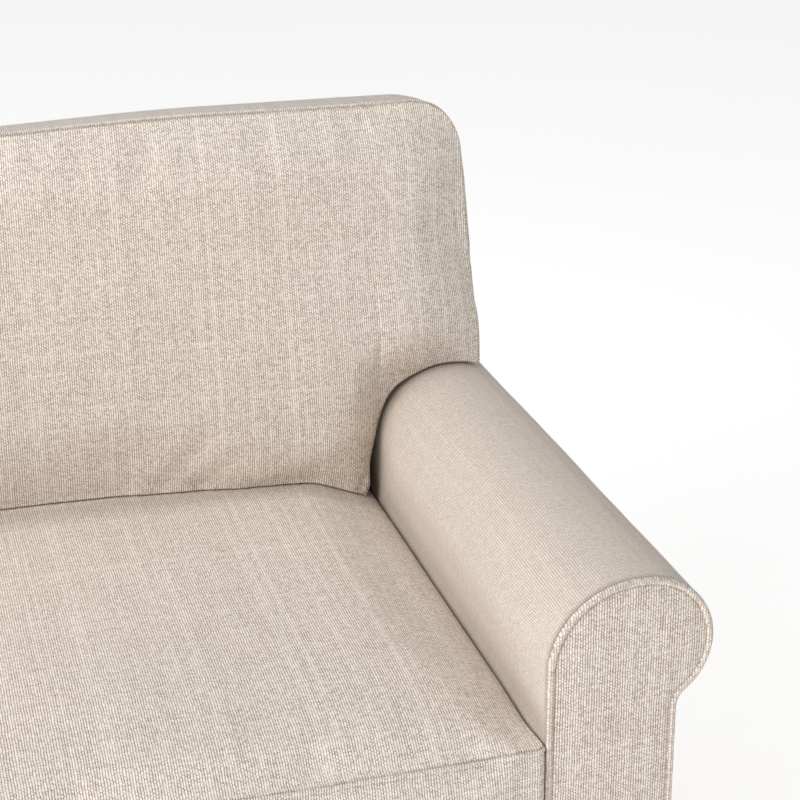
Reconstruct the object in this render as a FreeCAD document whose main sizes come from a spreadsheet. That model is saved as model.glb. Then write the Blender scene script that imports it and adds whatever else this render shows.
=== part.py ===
import FreeCAD, Part
import math
import os
import re
import Sketcher

# A two-seat loveseat with rolled arms, two loose seat cushions and two loose back cushions
# whose ears reach over the arms. Millimetres. The origin is on the floor under the middle
# of the object: +X is the viewer's right, +Y the back, +Z up.

Vector = FreeCAD.Vector
ALONG_X = Vector(1, 0, 0)

# Driving dimensions, each with the alias of its cell and what it measures.
SIZES = (
    ("seat_half_width", 605, "middle of the seat to the inner face of an arm"),
    ("leg_height", 88, "floor to the underside of the body"),
    ("deck_height", 340, "floor to the deck that the seat cushions lie on"),
    ("arm_height", 635, "floor to the top of an arm"),
    ("back_height", 850, "floor to the top of the back frame with its cover"),
    ("seat_platform_depth", 730, "arm front to the inside back, at the deck"),
    ("back_lean", 9, "lean of the inside back, in degrees"),
    ("outside_lean", 5, "lean of the outside back, in degrees"),
    ("cushion_proud", 12, "seat cushion past the arm front, at its bow"),
    ("overrun", 60, "how far a cutting tool passes the piece that it cuts"),
    ("rest_gap", 0.3, "air under and beside a soft piece at rest"),
    ("arm_inner_radius", 90, "arm section: round from the inner face to the top"),
    ("arm_top_flat", 8, "arm section: flat between the two rounds"),
    ("arm_roll_radius", 70, "arm section: the roll"),
    ("arm_face_out", 133, "arm section: inner face to outer face under the roll"),
    ("arm_neck_radius", 25, "arm section: hollow under the roll"),
    ("cover_thickness", 3, "upholstery fabric with its wadding"),
    ("arm_pad", 12, "padding on an arm frame"),
    ("back_pad", 20, "padding and straps on the front of the back frame"),
    ("back_air", 8.6, "back frame to the outside back, at the top"),
    ("panel_thickness", 4, "outside back: board with its fabric"),
    ("front_panel_thickness", 8, "arm front: board with its fabric"),
    ("welt_radius", 4.5, "cord in its fabric round an arm front"),
    ("welt_proud", 1, "welt past the arm cover"),
    ("welt_forward", 3, "welt past the arm front panel"),
    ("border_recess", 6, "front border behind the arm front"),
    ("border_drop", 2, "front border below the deck"),
    ("border_round", 8, "rounded top edge of the front border"),
    ("board_thickness", 18, "plywood of the arm fronts and arm tops"),
    ("rail_thickness", 25, "solid wood rails and posts"),
    ("side_rail_height", 100, "bottom side rails"),
    ("arm_top_rail_drop", 14, "board under the top of an arm, below the padding"),
    ("arm_top_rail_inside", 5.6, "its inner top edge to the padding"),
    ("arm_top_rail_outside", 7.7, "its outer top edge to the padding"),
    ("arm_rail_height", 45, "inner and outer arm rails"),
    ("arm_rail_thickness", 20, "inner and outer arm rails"),
    ("arm_rail_rise", 10, "outer arm rail past the start of the hollow"),
    ("arm_rail_drop", 15, "inner arm rail below the foot of the tack rail"),
    ("tack_rail_height", 40, "rail where the inside back fabric is tacked"),
    ("tack_rail_rise", 5, "tack rail above the deck"),
    ("top_rail_height", 70, "top rail of the back"),
    ("upright_width", 40, "middle upright of the back"),
    ("brace_width", 45, "middle brace under the seat"),
    ("brace_drop", 30.5, "top of that brace below the rails"),
    ("block_side", 130, "corner block along a rail"),
    ("block_height", 40, "corner block upwards"),
    ("plate_side", 44, "leg plate"),
    ("plate_thickness", 2.5, "leg plate"),
    ("bolt_diameter", 8, "hanger bolt of a leg"),
    ("bolt_fit", 0.4, "bolt hole over the bolt, on the diameter"),
    ("bolt_grip", 30, "hanger bolt inside a leg"),
    ("leg_inset", 38, "leg axis from the rails that meet beside it"),
    ("leg_top_radius", 28, "collar of a turned leg"),
    ("leg_waist_radius", 24, "turned leg below its collar"),
    ("leg_foot_radius", 17, "turned leg at its foot"),
    ("leg_collar", 12, "height of the collar"),
    ("leg_shoulder", 4, "slope from the collar to the taper"),
    ("glide_radius", 13, "nail glide under a leg"),
    ("glide_height", 4, "nail glide under a leg"),
    ("dust_thickness", 1, "dust cloth under the body"),
    ("deck_thickness", 20, "deck cloth with its pad"),
    ("spring_wire", 3.6, "wire of a sinuous spring"),
    ("spring_run", 24, "straight run across a sinuous spring"),
    ("clip_length", 20, "spring clip across"),
    ("clip_depth", 14, "spring clip along the seat"),
    ("clip_height", 8, "spring clip"),
    ("clip_fit", 0.4, "bore of a clip over the wire"),
    ("strap_width", 50, "elastic strap of the back"),
    ("strap_thickness", 1.5, "elastic strap of the back"),
    ("side_gap", 1.5, "seat or back cushion to the arm, and to the middle"),
    ("shell_thickness", 2.5, "cushion cover"),
    ("core_gap", 0.3, "cushion cover to its filling"),
    ("seam_draw", 6, "cushion sides drawn in at the seams"),
    ("seat_border", 138, "seat cushion between its seams"),
    ("seat_crown", 24, "seat cushion above its top seam"),
    ("seat_crown_reach", 230, "top seam to the level top of the crown"),
    ("seat_corner", 38, "seat cushion corner in plan"),
    ("seat_bow", 8, "front of the seat cushion, bowed forwards"),
    ("seat_back_gap", 2, "seat cushion to the inside back"),
    ("back_cushion_height", 446, "back cushion along its lean"),
    ("back_cushion_lift", 0.5, "its foot above the crown of the seat cushion"),
    ("ear_reach", 125, "ear of the back cushion over the arm"),
    ("ear_gap", 1, "ear to the arm under it"),
    ("back_border", 118, "back cushion between its seams"),
    ("back_crown", 30, "back cushion in front of its front seam"),
    ("back_crown_reach", 125, "front seam to the level middle of the crown"),
    ("back_swell", 10, "back cushion behind its rear seam"),
    ("back_swell_reach", 70, "rear seam to the level middle of the swell"),
    ("back_corner", 44, "back cushion corner"),
    ("zip_length", 480, "zip along a cushion border"),
    ("tape_width", 20, "zip tape"),
    ("tape_thickness", 0.6, "zip tape"),
    ("chain_width", 6, "zip chain"),
    ("chain_thickness", 0.9, "zip chain"),
    ("slider_length", 10, "zip slider along the zip"),
    ("slider_width", 9, "zip slider across"),
    ("slider_thickness", 1.6, "zip slider"),
    ("slider_gap", 0.3, "zip slider to its chain"),
    ("slider_margin", 5, "zip slider to the end of the zip"),
    ("tab_length", 22, "pull tab past the slider"),
    ("tab_width", 6, "pull tab"),
    ("tab_thickness", 1.2, "pull tab"),
    ("tab_hole", 3, "hole of the pull tab"),
)

SPRINGS_PER_SEAT = 5
SPRING_RUNS = 29
STRAPS_PER_SEAT = 3
# Border of a cushion: how far up each level lies, and how much of the draw it has.
BORDER_SHARES = ((0.0, 1.0), (0.12, 0.4), (0.5, 0.0), (0.88, 0.4), (1.0, 1.0))
# Crown of a cushion: how far in from the seam each level lies, as a share of the reach.
CROWN_SHARES = (0.0, 0.12, 0.3, 0.55, 0.85)
CROWN_POWER = 2.5
# Corners and sides grow rounder towards the middle of a crown.
CORNER_GROWTH_SHARE = 0.3
SIDE_GROWTH_SHARE = 0.12
# The most of a level's shorter side that a rounded corner, or the reach of a crown, may take.
LIMIT_SHARE = 0.49

# Places and angles worked out from the sizes, in an order that each can be worked out in.
PLACES = (
    ("lean_slope", "tan(back_lean * 1 deg)"),
    ("lean_depth", "1 / cos(back_lean * 1 deg)"),
    ("outside_slope", "tan(outside_lean * 1 deg)"),
    ("outside_depth", "1 / cos(outside_lean * 1 deg)"),
    ("skin", "cover_thickness + arm_pad"),
    ("back_top_depth", "(cover_thickness + back_pad + rail_thickness) * lean_depth + back_air"
                       " + panel_thickness * outside_depth"),
    ("overall_depth", "cushion_proud + seat_platform_depth"
                      " + (back_height - deck_height) * lean_slope + back_top_depth"),
    ("arm_front", "cushion_proud - overall_depth / 2"),
    ("board_front", "arm_front + front_panel_thickness"),
    ("rail_front", "board_front + board_thickness"),
    ("rail_rear", "rail_front + rail_thickness"),
    ("cover_front", "arm_front - welt_forward + 2 * welt_radius"),
    ("border_front", "arm_front + border_recess"),
    ("back_foot", "arm_front + seat_platform_depth"),
    ("frame_foot", "back_foot + (cover_thickness + back_pad) * lean_depth"),
    ("frame_bottom", "leg_height + dust_thickness"),
    ("block_bottom", "frame_bottom + plate_thickness"),
    ("rail_top", "deck_height - deck_thickness - clip_height"),
    ("brace_height", "rail_top - brace_drop - block_bottom"),
    ("deck_bottom", "deck_height - deck_thickness"),
    ("frame_top", "back_height - cover_thickness"),
    ("out_top", "overall_depth / 2 - panel_thickness * outside_depth"),
    ("out_frame_top", "out_top - cover_thickness * outside_slope"),
    ("out_deck", "out_top - (back_height - deck_height) * outside_slope"),
    ("out_bottom", "out_top - (back_height - frame_bottom) * outside_slope"),
    ("out_foot", "out_top - (back_height - leg_height) * outside_slope"),
    ("roll_across", "arm_inner_radius + arm_top_flat"),
    ("neck_across", "arm_face_out + arm_neck_radius"),
    ("neck_swing", "arm_roll_radius + arm_neck_radius"),
    ("neck_drop", "sqrt(pow(neck_swing; 2) - pow(neck_across - roll_across; 2))"),
    ("neck_height", "arm_height - arm_roll_radius - neck_drop"),
    ("board_top", "arm_height - skin - arm_top_rail_drop"),
    ("board_inside", "arm_inner_radius + arm_top_rail_inside - sqrt(pow(arm_inner_radius - skin; 2)"
                     " - pow(board_top - arm_height + arm_inner_radius; 2))"),
    ("board_outside", "roll_across - arm_top_rail_outside + sqrt(pow(arm_roll_radius - skin; 2)"
                      " - pow(board_top - arm_height + arm_roll_radius; 2))"),
    ("post_outside", "seat_half_width + arm_face_out - skin"),
    ("post_inside", "post_outside - rail_thickness"),
    ("back_half", "post_outside + cover_thickness"),
    ("leg_across", "post_inside - leg_inset"),
    ("leg_front_y", "rail_rear + leg_inset"),
    ("leg_rear_y", "frame_foot - leg_inset"),
    ("leg_middle_y", "(rail_rear + frame_foot) / 2"),
    ("seat_base", "deck_height + rest_gap"),
    ("seat_seam", "seat_base + seat_border"),
    ("seat_rear", "back_foot - seat_back_gap"),
    ("foot_depth", "(back_swell + back_border) * cos(back_lean * 1 deg) - seat_back_gap"),
    ("crown_at_foot", "seat_crown * (1 - pow(1 - min(1; foot_depth / seat_crown_reach);"
                      f" {CROWN_POWER}))"),
    ("cushion_foot_z", "seat_seam + crown_at_foot + back_cushion_lift"
                       " - (back_swell + back_border) * sin(back_lean * 1 deg)"),
    ("cushion_foot_y", "back_foot + (cushion_foot_z - deck_height) * lean_slope"
                       " - rest_gap * lean_depth"),
)

document = FreeCAD.newDocument("Loveseat")
sizes = document.addObject("Spreadsheet::Sheet", "Sizes")
for row, (alias, value, meaning) in enumerate(SIZES, start=1):
    sizes.set(f"A{row}", meaning)
    sizes.set(f"B{row}", str(value))
    sizes.setAlias(f"B{row}", alias)
document.recompute()

OWNERS = {alias: "Sizes" for alias, _, _ in SIZES}
OWNERS.update({name: "Places" for name, _ in PLACES})


def tied(formula):
    """Point each size or place named in a formula at the object that holds it."""
    def owned(match):
        word = match.group(0)
        return f"{OWNERS[word]}.{word}" if word in OWNERS else word
    return re.sub(r"[a-z][a-z_]+", owned, formula)


places = document.addObject("App::FeaturePython", "Places")
for name, formula in PLACES:
    places.addProperty("App::PropertyFloat", name)
    places.setExpression(name, tied(formula))
    places.recompute()

parts = []


def number(name):
    """The present value of a size or place."""
    holder = sizes if OWNERS[name] == "Sizes" else places
    return float(getattr(holder, name))


def bind(item, **formulas):
    """Tie properties of an object to formulas; a double underscore stands for a dot."""
    for path, formula in formulas.items():
        item.setExpression(path.replace("__", "."), tied(formula))


def keep(item, label):
    """Name a finished sub-part and list it for export."""
    item.Label = label
    parts.append(item)
    return item


def box(name, x, y, z, across, deep, high):
    """A straight board or block from its lowest corner."""
    item = document.addObject("Part::Box", name)
    bind(item, Length=across, Width=deep, Height=high,
         Placement__Base__x=x, Placement__Base__y=y, Placement__Base__z=z)
    return item


def leaning_board(name, x, across, foot, rise, depth, thickness):
    """A board that leans with the inside back, this deep behind its face."""
    item = document.addObject("Part::Box", name)
    item.Placement = FreeCAD.Placement(Vector(), FreeCAD.Rotation(ALONG_X, -number("back_lean")))
    bind(item, Length=across, Width=thickness, Height=rise,
         Placement__Rotation__Angle="-back_lean",
         Placement__Base__x=x, Placement__Base__z=foot,
         Placement__Base__y=f"back_foot + ({foot} - deck_height) * lean_slope"
                            f" + ({depth}) * lean_depth")
    return item


def combined(kind, name, pieces):
    """A fusion or compound of several objects."""
    item = document.addObject(kind, name)
    if kind == "Part::Compound":
        item.Links = pieces
    else:
        item.Shapes = pieces
    return item


def cut(name, base, tools):
    """What is left of one object once the others are cut from it."""
    item = document.addObject("Part::Cut", name)
    item.Base = base
    item.Tool = tools[0] if len(tools) == 1 else combined("Part::MultiFuse", name + "Tools", tools)
    return item


def mirrored(source, name):
    """The same object on the other side of the middle."""
    item = document.addObject("Part::Mirroring", name)
    item.Source = source
    item.Normal = ALONG_X
    return item


def keep_both(item, label):
    """Keep a right-hand sub-part and its left-hand twin."""
    keep(item, label + "_right")
    keep(mirrored(item, item.Name + "Left"), label + "_left")


def sketch_on(body, role, offset):
    """A sketch on an origin plane of a body, moved along that plane's normal."""
    plane = [item for item in body.Origin.OriginFeatures if item.Role == role][0]
    sketch = body.newObject("Sketcher::SketchObject", body.Name + "Sketch")
    sketch.AttachmentSupport = [(plane, "")]
    sketch.MapMode = "FlatFace"
    bind(sketch, AttachmentOffset__Base__z=offset)
    return sketch


def worked_out(formulas):
    """Present values of some formulas, read from a property that is then removed."""
    results = []
    places.addProperty("App::PropertyFloat", "scratch")
    for formula in formulas:
        places.setExpression("scratch", tied(formula))
        places.recompute()
        results.append(float(places.scratch))
    places.setExpression("scratch", None)
    places.removeProperty("scratch")
    return results


def outline(sketch, points):
    """A closed chain of straight lines with each corner bound to a pair of formulas."""
    corners = [Vector(*worked_out(point), 0) for point in points]
    count = len(points)
    for index in range(count):
        line = Part.LineSegment(corners[index], corners[(index + 1) % count])
        sketch.addGeometry(line, False)
    for index in range(count):
        sketch.addConstraint(Sketcher.Constraint("Coincident", index, 2, (index + 1) % count, 1))
    for index, (first, second) in enumerate(points):
        for kind, place, formula in (("DistanceX", corners[index].x, first),
                                     ("DistanceY", corners[index].y, second)):
            added = sketch.addConstraint(Sketcher.Constraint(kind, -1, 1, index, 1, place))
            sketch.setExpression(f"Constraints[{added}]", tied(formula))


def side_profile(name, points, x, across):
    """A body whose (y, z) outline is padded towards +X."""
    body = document.addObject("PartDesign::Body", name)
    sketch = sketch_on(body, "YZ_Plane", x)
    outline(sketch, points)
    pad = body.newObject("PartDesign::Pad", name + "Pad")
    pad.Profile = sketch
    bind(pad, Length=across)
    return body


def arm_places(inset, bottom):
    """Corners and centres of the arm section, drawn in by an inset, as (x, z) numbers."""
    inner = number("seat_half_width")
    round_z = number("arm_height") - number("arm_inner_radius")
    roll_z = number("arm_height") - number("arm_roll_radius")
    neck_z = number("neck_height")
    roll_x = inner + number("roll_across")
    neck_x = inner + number("neck_across")
    swing = math.atan2(number("neck_drop"), number("neck_across") - number("roll_across"))
    return {
        "foot": Vector(inner + inset, bottom, 0),
        "shoulder": Vector(inner + inset, round_z, 0),
        "round": Vector(inner + number("arm_inner_radius"), round_z, 0),
        "round_radius": number("arm_inner_radius") - inset,
        "roll": Vector(roll_x, roll_z, 0),
        "roll_radius": number("arm_roll_radius") - inset,
        "neck": Vector(neck_x, neck_z, 0),
        "neck_radius": number("arm_neck_radius") + inset,
        "swing": swing,
        "face": Vector(inner + number("arm_face_out") - inset, neck_z, 0),
        "outer_foot": Vector(inner + number("arm_face_out") - inset, bottom, 0),
    }


def arm_edges(inset, bottom):
    """The arm section as curves, from the inner foot over the roll to the outer foot."""
    at = arm_places(inset, bottom)
    up = Vector(0, 0, 1)

    def arc(centre, radius, start, end):
        return Part.ArcOfCircle(Part.Circle(at[centre], up, at[radius]), start, end)
    top_round = at["round"] + Vector(0, at["round_radius"], 0)
    top_roll = at["roll"] + Vector(0, at["roll_radius"], 0)
    return [
        Part.LineSegment(at["foot"], at["shoulder"]),
        arc("round", "round_radius", math.pi / 2, math.pi),
        Part.LineSegment(top_round, top_roll),
        arc("roll", "roll_radius", -at["swing"], math.pi / 2),
        arc("neck", "neck_radius", math.pi - at["swing"], math.pi),
        Part.LineSegment(at["face"], at["outer_foot"]),
    ]


def arm_block(name, inset, bottom, front, deep):
    """A body with the section of the right arm, drawn in by an inset, padded backwards."""
    body = document.addObject("PartDesign::Body", name)
    sketch = sketch_on(body, "XZ_Plane", f"-({front})")
    inset_now, bottom_now = worked_out((inset, bottom))
    curves = arm_edges(inset_now, bottom_now)
    curves.append(Part.LineSegment(curves[-1].EndPoint, curves[0].StartPoint))
    for curve in curves:
        sketch.addGeometry(curve, False)
    for first, first_end, second, second_end in ((0, 2, 1, 2), (1, 1, 2, 1), (2, 2, 3, 2),
                                                 (3, 1, 4, 1), (4, 2, 5, 1)):
        sketch.addConstraint(
            Sketcher.Constraint("Tangent", first, first_end, second, second_end))
    for first, second in ((5, 6), (6, 0)):
        sketch.addConstraint(Sketcher.Constraint("Coincident", first, 2, second, 1))
    for kind, index in (("Vertical", 0), ("Vertical", 5), ("Horizontal", 2), ("Horizontal", 6)):
        sketch.addConstraint(Sketcher.Constraint(kind, index))
    driven = (
        (("Radius", 1), f"arm_inner_radius - ({inset})"),
        (("Radius", 3), f"arm_roll_radius - ({inset})"),
        (("Radius", 4), f"arm_neck_radius + ({inset})"),
        (("DistanceX", -1, 1, 0, 1), f"seat_half_width + ({inset})"),
        (("DistanceX", 0, 1, 5, 2), f"arm_face_out - 2 * ({inset})"),
        (("DistanceX", 2, 1, 2, 2), "arm_top_flat"),
        (("DistanceY", -1, 1, 0, 1), bottom),
        (("DistanceY", 0, 1, 2, 1), f"arm_height - ({inset}) - ({bottom})"),
    )
    values = worked_out([formula for _, formula in driven])
    for (constraint, formula), value in zip(driven, values):
        added = sketch.addConstraint(Sketcher.Constraint(*constraint, value))
        sketch.setExpression(f"Constraints[{added}]", tied(formula))
    pad = body.newObject("PartDesign::Pad", name + "Pad")
    pad.Profile = sketch
    pad.Reversed = True
    bind(pad, Length=deep)
    return body


# The bottom frame: front and back rails between the arms, side rails, and a brace.
keep(box("FrontRail", "-post_outside", "rail_front", "frame_bottom",
         "2 * post_outside", "rail_thickness", "rail_top - frame_bottom"), "front_rail")
keep(box("BackRail", "-post_inside", "frame_foot", "frame_bottom",
         "2 * post_inside", "rail_thickness", "rail_top - frame_bottom"), "back_rail")
side_rail = box("SideRail", "post_inside", "rail_rear", "frame_bottom",
                "rail_thickness", "frame_foot - rail_rear", "side_rail_height")
keep_both(side_rail, "side_rail")
brace = box("Brace", "-brace_width / 2", "rail_rear", "block_bottom",
            "brace_width", "frame_foot - rail_rear", "brace_height")

# Places of the legs, as formulas, with the way to the nearest corner of the frame.
LEGS = (
    ("leg_front_left", "-leg_across", "leg_front_y", -1, -1),
    ("leg_front_right", "leg_across", "leg_front_y", 1, -1),
    ("leg_rear_left", "-leg_across", "leg_rear_y", -1, 1),
    ("leg_rear_right", "leg_across", "leg_rear_y", 1, 1),
    ("leg_centre", "0", "leg_middle_y", 0, 0),
)


def upright_cylinder(name, x, y, foot, radius, high):
    """A round bar or hole that stands at a place."""
    item = document.addObject("Part::Cylinder", name)
    bind(item, Radius=radius, Height=high,
         Placement__Base__x=x, Placement__Base__y=y, Placement__Base__z=foot)
    return item


def leg_holes(name):
    """One hole for the hanger bolt of each leg, right through whatever it is cut from."""
    return combined("Part::Compound", name, [
        upright_cylinder(name + "_" + label, x, y, "frame_bottom - overrun",
                         "(bolt_diameter + bolt_fit) / 2", "brace_height + 2 * overrun")
        for label, x, y, _, _ in LEGS])


def turned_leg(label, x, y):
    """A turned and tapered wooden leg with a bore in its top."""
    body = document.addObject("PartDesign::Body", "Turned_" + label)
    sketch = sketch_on(body, "XZ_Plane", "0")
    bore = "(bolt_diameter + bolt_fit) / 2"
    bore_end = "leg_height - bolt_grip - bolt_fit"
    outline(sketch, (
        ("0", "glide_height"), ("leg_foot_radius", "glide_height"),
        ("leg_waist_radius", "leg_height - leg_collar - leg_shoulder"),
        ("leg_top_radius", "leg_height - leg_collar"), ("leg_top_radius", "leg_height"),
        (bore, "leg_height"), (bore, bore_end), ("0", bore_end)))
    turned = body.newObject("PartDesign::Revolution", body.Name + "Turn")
    turned.Profile = sketch
    turned.ReferenceAxis = (sketch, ["V_Axis"])
    turned.Angle = 360
    bind(body, Placement__Base__x=x, Placement__Base__y=y)
    return body


def corner_block(label, x_way, y_way):
    """A three-sided block glued and screwed where a side rail meets a cross rail."""
    side = number("block_side")
    corner = Vector(x_way * number("post_inside"),
                    number("rail_rear") if y_way < 0 else number("frame_foot"),
                    number("block_bottom"))
    ends = [corner, corner - Vector(x_way * side, 0, 0), corner - Vector(0, y_way * side, 0)]
    face = Part.Face(Part.makePolygon(ends + [corner]))
    item = document.addObject("Part::Feature", "Block_" + label)
    item.Shape = face.extrude(Vector(0, 0, number("block_height")))
    return item


keep(cut("CentreBrace", brace, [leg_holes("BraceHoles")]), "seat_centre_brace")
blocks = [corner_block(label, x_way, y_way) for label, _, _, x_way, y_way in LEGS if x_way]
keep(cut("CornerBlocks", combined("Part::Compound", "Blocks", blocks),
         [leg_holes("BlockHoles")]), "corner_blocks")
plates = [box("Plate_" + label, f"{x} - plate_side / 2", f"{y} - plate_side / 2", "frame_bottom",
              "plate_side", "plate_side", "plate_thickness") for label, x, y, _, _ in LEGS]
keep(cut("LegPlates", combined("Part::Compound", "Plates", plates),
         [leg_holes("PlateHoles")]), "leg_plates")
keep(combined("Part::Compound", "LegBolts", [
    upright_cylinder("Bolt_" + label, x, y, "leg_height - bolt_grip", "bolt_diameter / 2",
                     "bolt_grip + block_bottom - leg_height + block_height")
    for label, x, y, _, _ in LEGS]), "leg_bolts")
keep(combined("Part::Compound", "LegGlides", [
    upright_cylinder("Glide_" + label, x, y, "0", "glide_radius", "glide_height")
    for label, x, y, _, _ in LEGS]), "leg_glides")
for label, x, y, _, _ in LEGS:
    keep(turned_leg(label, x, y), label)

# The back frame: two raked posts, a tack rail, a top rail and a middle upright.
post = side_profile("BackPost", (
    ("frame_foot", "frame_bottom"), ("frame_foot", "deck_height"),
    ("frame_foot + (frame_top - deck_height) * lean_slope", "frame_top"),
    ("out_frame_top", "frame_top"), ("out_bottom", "frame_bottom")),
    "post_inside", "rail_thickness")
keep_both(post, "back_post")
tack_rail = leaning_board("TackRail", "-post_inside", "2 * post_inside",
                          "deck_height + tack_rail_rise", "tack_rail_height",
                          "cover_thickness + back_pad", "rail_thickness")
keep(tack_rail, "back_tack_rail")
keep(leaning_board("TopRail", "-post_inside", "2 * post_inside",
                   "frame_top - top_rail_height", "top_rail_height",
                   "cover_thickness + back_pad", "rail_thickness"), "back_top_rail")
keep(leaning_board("CentreUpright", "-upright_width / 2", "upright_width",
                   "deck_height + tack_rail_rise + tack_rail_height",
                   "(frame_top - top_rail_height - deck_height - tack_rail_rise"
                   " - tack_rail_height) * lean_depth",
                   "cover_thickness + back_pad", "rail_thickness"), "back_centre_upright")

# The arm frames: a key-hole front board and three rails back to the post.
keep_both(arm_block("ArmFrontBoard", "skin", "leg_height", "board_front", "board_thickness"),
          "arm_front_board")
arm_rails = [
    box("ArmTopRail", "seat_half_width + board_inside", "rail_front",
        "board_top - board_thickness", "board_outside - board_inside",
        "frame_foot + (board_top - board_thickness - deck_height) * lean_slope - rail_front",
        "board_thickness"),
    box("ArmOuterRail", "post_outside - arm_rail_thickness", "rail_front",
        "neck_height + arm_rail_rise - arm_rail_height", "arm_rail_thickness",
        "frame_foot + (neck_height + arm_rail_rise - arm_rail_height"
        " - deck_height) * lean_slope - rail_front", "arm_rail_height"),
    box("ArmInnerRail", "seat_half_width + skin", "rail_front",
        "deck_height + tack_rail_rise - arm_rail_drop", "arm_rail_thickness",
        "frame_foot - rail_front", "arm_rail_height"),
]
keep_both(combined("Part::Compound", "ArmRails", arm_rails), "arm_rails")


def spring(name, across):
    """A sinuous spring: straight runs joined by half rounds, laid from front to back."""
    start = number("rail_front") + number("rail_thickness") / 2
    end = number("frame_foot") + number("rail_thickness") / 2
    radius = (end - start) / (SPRING_RUNS - 1) / 2
    high = number("rail_top") + number("clip_height") / 2
    half_run = number("spring_run") / 2
    bend = radius * math.sqrt(0.5)
    edges = []
    for run in range(SPRING_RUNS):
        way = 1 if run % 2 == 0 else -1
        y = start + run * 2 * radius
        near = Vector(across - way * half_run, y, high)
        far = Vector(across + way * half_run, y, high)
        edges.append(Part.LineSegment(near, far).toShape())
        if run == SPRING_RUNS - 1:
            break
        centre = far + Vector(0, radius, 0)
        out = centre + Vector(way * radius, 0, 0)
        after = centre + Vector(0, radius, 0)
        edges.append(Part.Arc(far, centre + Vector(way * bend, -bend, 0), out).toShape())
        edges.append(Part.Arc(out, centre + Vector(way * bend, bend, 0), after).toShape())
    first = edges[0].Vertexes[0].Point
    ring = Part.Wire([Part.Circle(first, ALONG_X, number("spring_wire") / 2).toShape()])
    item = document.addObject("Part::Feature", name)
    item.Shape = Part.Wire(edges).makePipeShell([ring], True, False)
    return item


def spring_places():
    """Distance of each spring from the middle of the seat."""
    pitch = number("seat_half_width") / SPRINGS_PER_SEAT
    return [pitch * (index + 0.5) for index in range(SPRINGS_PER_SEAT)]


def spring_clip(name, across, y):
    """A clip nailed to a rail, with the end run of a spring through it."""
    size = Vector(number("clip_length"), number("clip_depth"), number("clip_height"))
    corner = Vector(across - size.x / 2, y - size.y / 2, number("rail_top"))
    start = Vector(across - size.x, y, corner.z + size.z / 2)
    hole = (number("spring_wire") + number("clip_fit")) / 2
    item = document.addObject("Part::Feature", name)
    item.Shape = Part.makeBox(size.x, size.y, size.z, corner).cut(
        Part.makeCylinder(hole, 2 * size.x, start, ALONG_X))
    return item


# The springing: sinuous springs on clips under the seat, elastic straps behind the back.
springs = [spring(f"Spring{index}", across) for index, across in enumerate(spring_places())]
keep_both(combined("Part::Compound", "Springs", springs), "seat_springs")
clips = [spring_clip(f"Clip{side}{index}{row}", side * across, y)
         for side in (-1, 1) for index, across in enumerate(spring_places())
         for row, y in enumerate((number("rail_front") + number("rail_thickness") / 2,
                                  number("frame_foot") + number("rail_thickness") / 2))]
for index, clip in enumerate(clips):
    clip.Label = f"Clip number {index}"
keep(combined("Part::Compound", "Clips", clips), "spring_clips")
straps = [leaning_board(f"Strap{side}{index}",
                        f"{side} * seat_half_width * {index + 0.5} / {STRAPS_PER_SEAT}"
                        " - strap_width / 2", "strap_width", "deck_height + tack_rail_rise",
                        "(frame_top - deck_height - tack_rail_rise) * lean_depth",
                        "cover_thickness + back_pad - strap_thickness", "strap_thickness")
          for side in (-1, 1) for index in range(STRAPS_PER_SEAT)]
keep(combined("Part::Compound", "Straps", straps), "back_webbing")

# Cloth and boards that close the body: deck, front border, dust cloth.
keep(box("Deck", "-(seat_half_width - rest_gap)", "rail_front", "deck_bottom",
         "2 * (seat_half_width - rest_gap)", "frame_foot + rail_thickness - rail_front",
         "deck_thickness"), "seat_deck")
border = side_profile("FrontBorder", (
    ("border_front", "leg_height"), ("border_front", "deck_height - border_drop - border_round"),
    ("border_front + border_round", "deck_height - border_drop"),
    ("rail_front", "deck_height - border_drop"), ("rail_front", "leg_height")),
    "-(seat_half_width - rest_gap)", "2 * (seat_half_width - rest_gap)")
keep(border, "front_border")
dust = box("Dust", "-post_outside", "rail_front", "leg_height",
           "2 * post_outside", "out_foot - rail_front", "dust_thickness")
keep(cut("DustCover", dust, [leg_holes("DustHoles")]), "dust_cover")

# Tools that trim the arm covers and paddings: what lies behind the outside back, below the
# deck, and outside the frame under the roll.
behind = side_profile("Behind", (
    ("out_top - (back_height + overrun - leg_height + overrun) * outside_slope"
     " + overrun * outside_slope", "leg_height - overrun"),
    ("out_top + overrun * outside_slope", "back_height + overrun"),
    ("overall_depth", "back_height + overrun"), ("overall_depth", "leg_height - overrun")),
    "-2 * seat_half_width", "4 * seat_half_width")
below = box("Below", "seat_half_width - overrun", "arm_front - overrun", "leg_height - overrun",
            "arm_face_out + 2 * overrun", "2 * overall_depth",
            "deck_bottom - leg_height + overrun")
beside = box("Beside", "post_outside", "arm_front - overrun", "leg_height - overrun",
             "2 * overrun", "2 * overall_depth", "neck_height - leg_height + overrun")

# The arms: cover, padding, outside panel, front panel and the welt round the front.
arm_mass = arm_block("ArmMass", "0", "leg_height", "cover_front", "overall_depth")
arm_mass_left = mirrored(arm_mass, "ArmMassLeft")
arm_hollow = arm_block("ArmHollow", "cover_thickness", "leg_height - overrun",
                       "cover_front - overrun", "overall_depth + 2 * overrun")
arm_padding = arm_block("ArmPaddingMass", "cover_thickness", "leg_height",
                        "board_front", "overall_depth")
arm_core = arm_block("ArmCore", "skin", "leg_height - overrun",
                     "cover_front - overrun", "overall_depth + 2 * overrun")
keep_both(cut("ArmCover", arm_mass, [arm_hollow, behind, below, beside, post, tack_rail]),
          "arm_cover")
keep_both(cut("ArmPadding", arm_padding, [arm_core, behind, below, beside, post, tack_rail]),
          "arm_padding")
outside_arm = box("OutsideArm", "post_outside", "board_front", "leg_height",
                  "skin", "overall_depth", "neck_height - leg_height")
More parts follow.
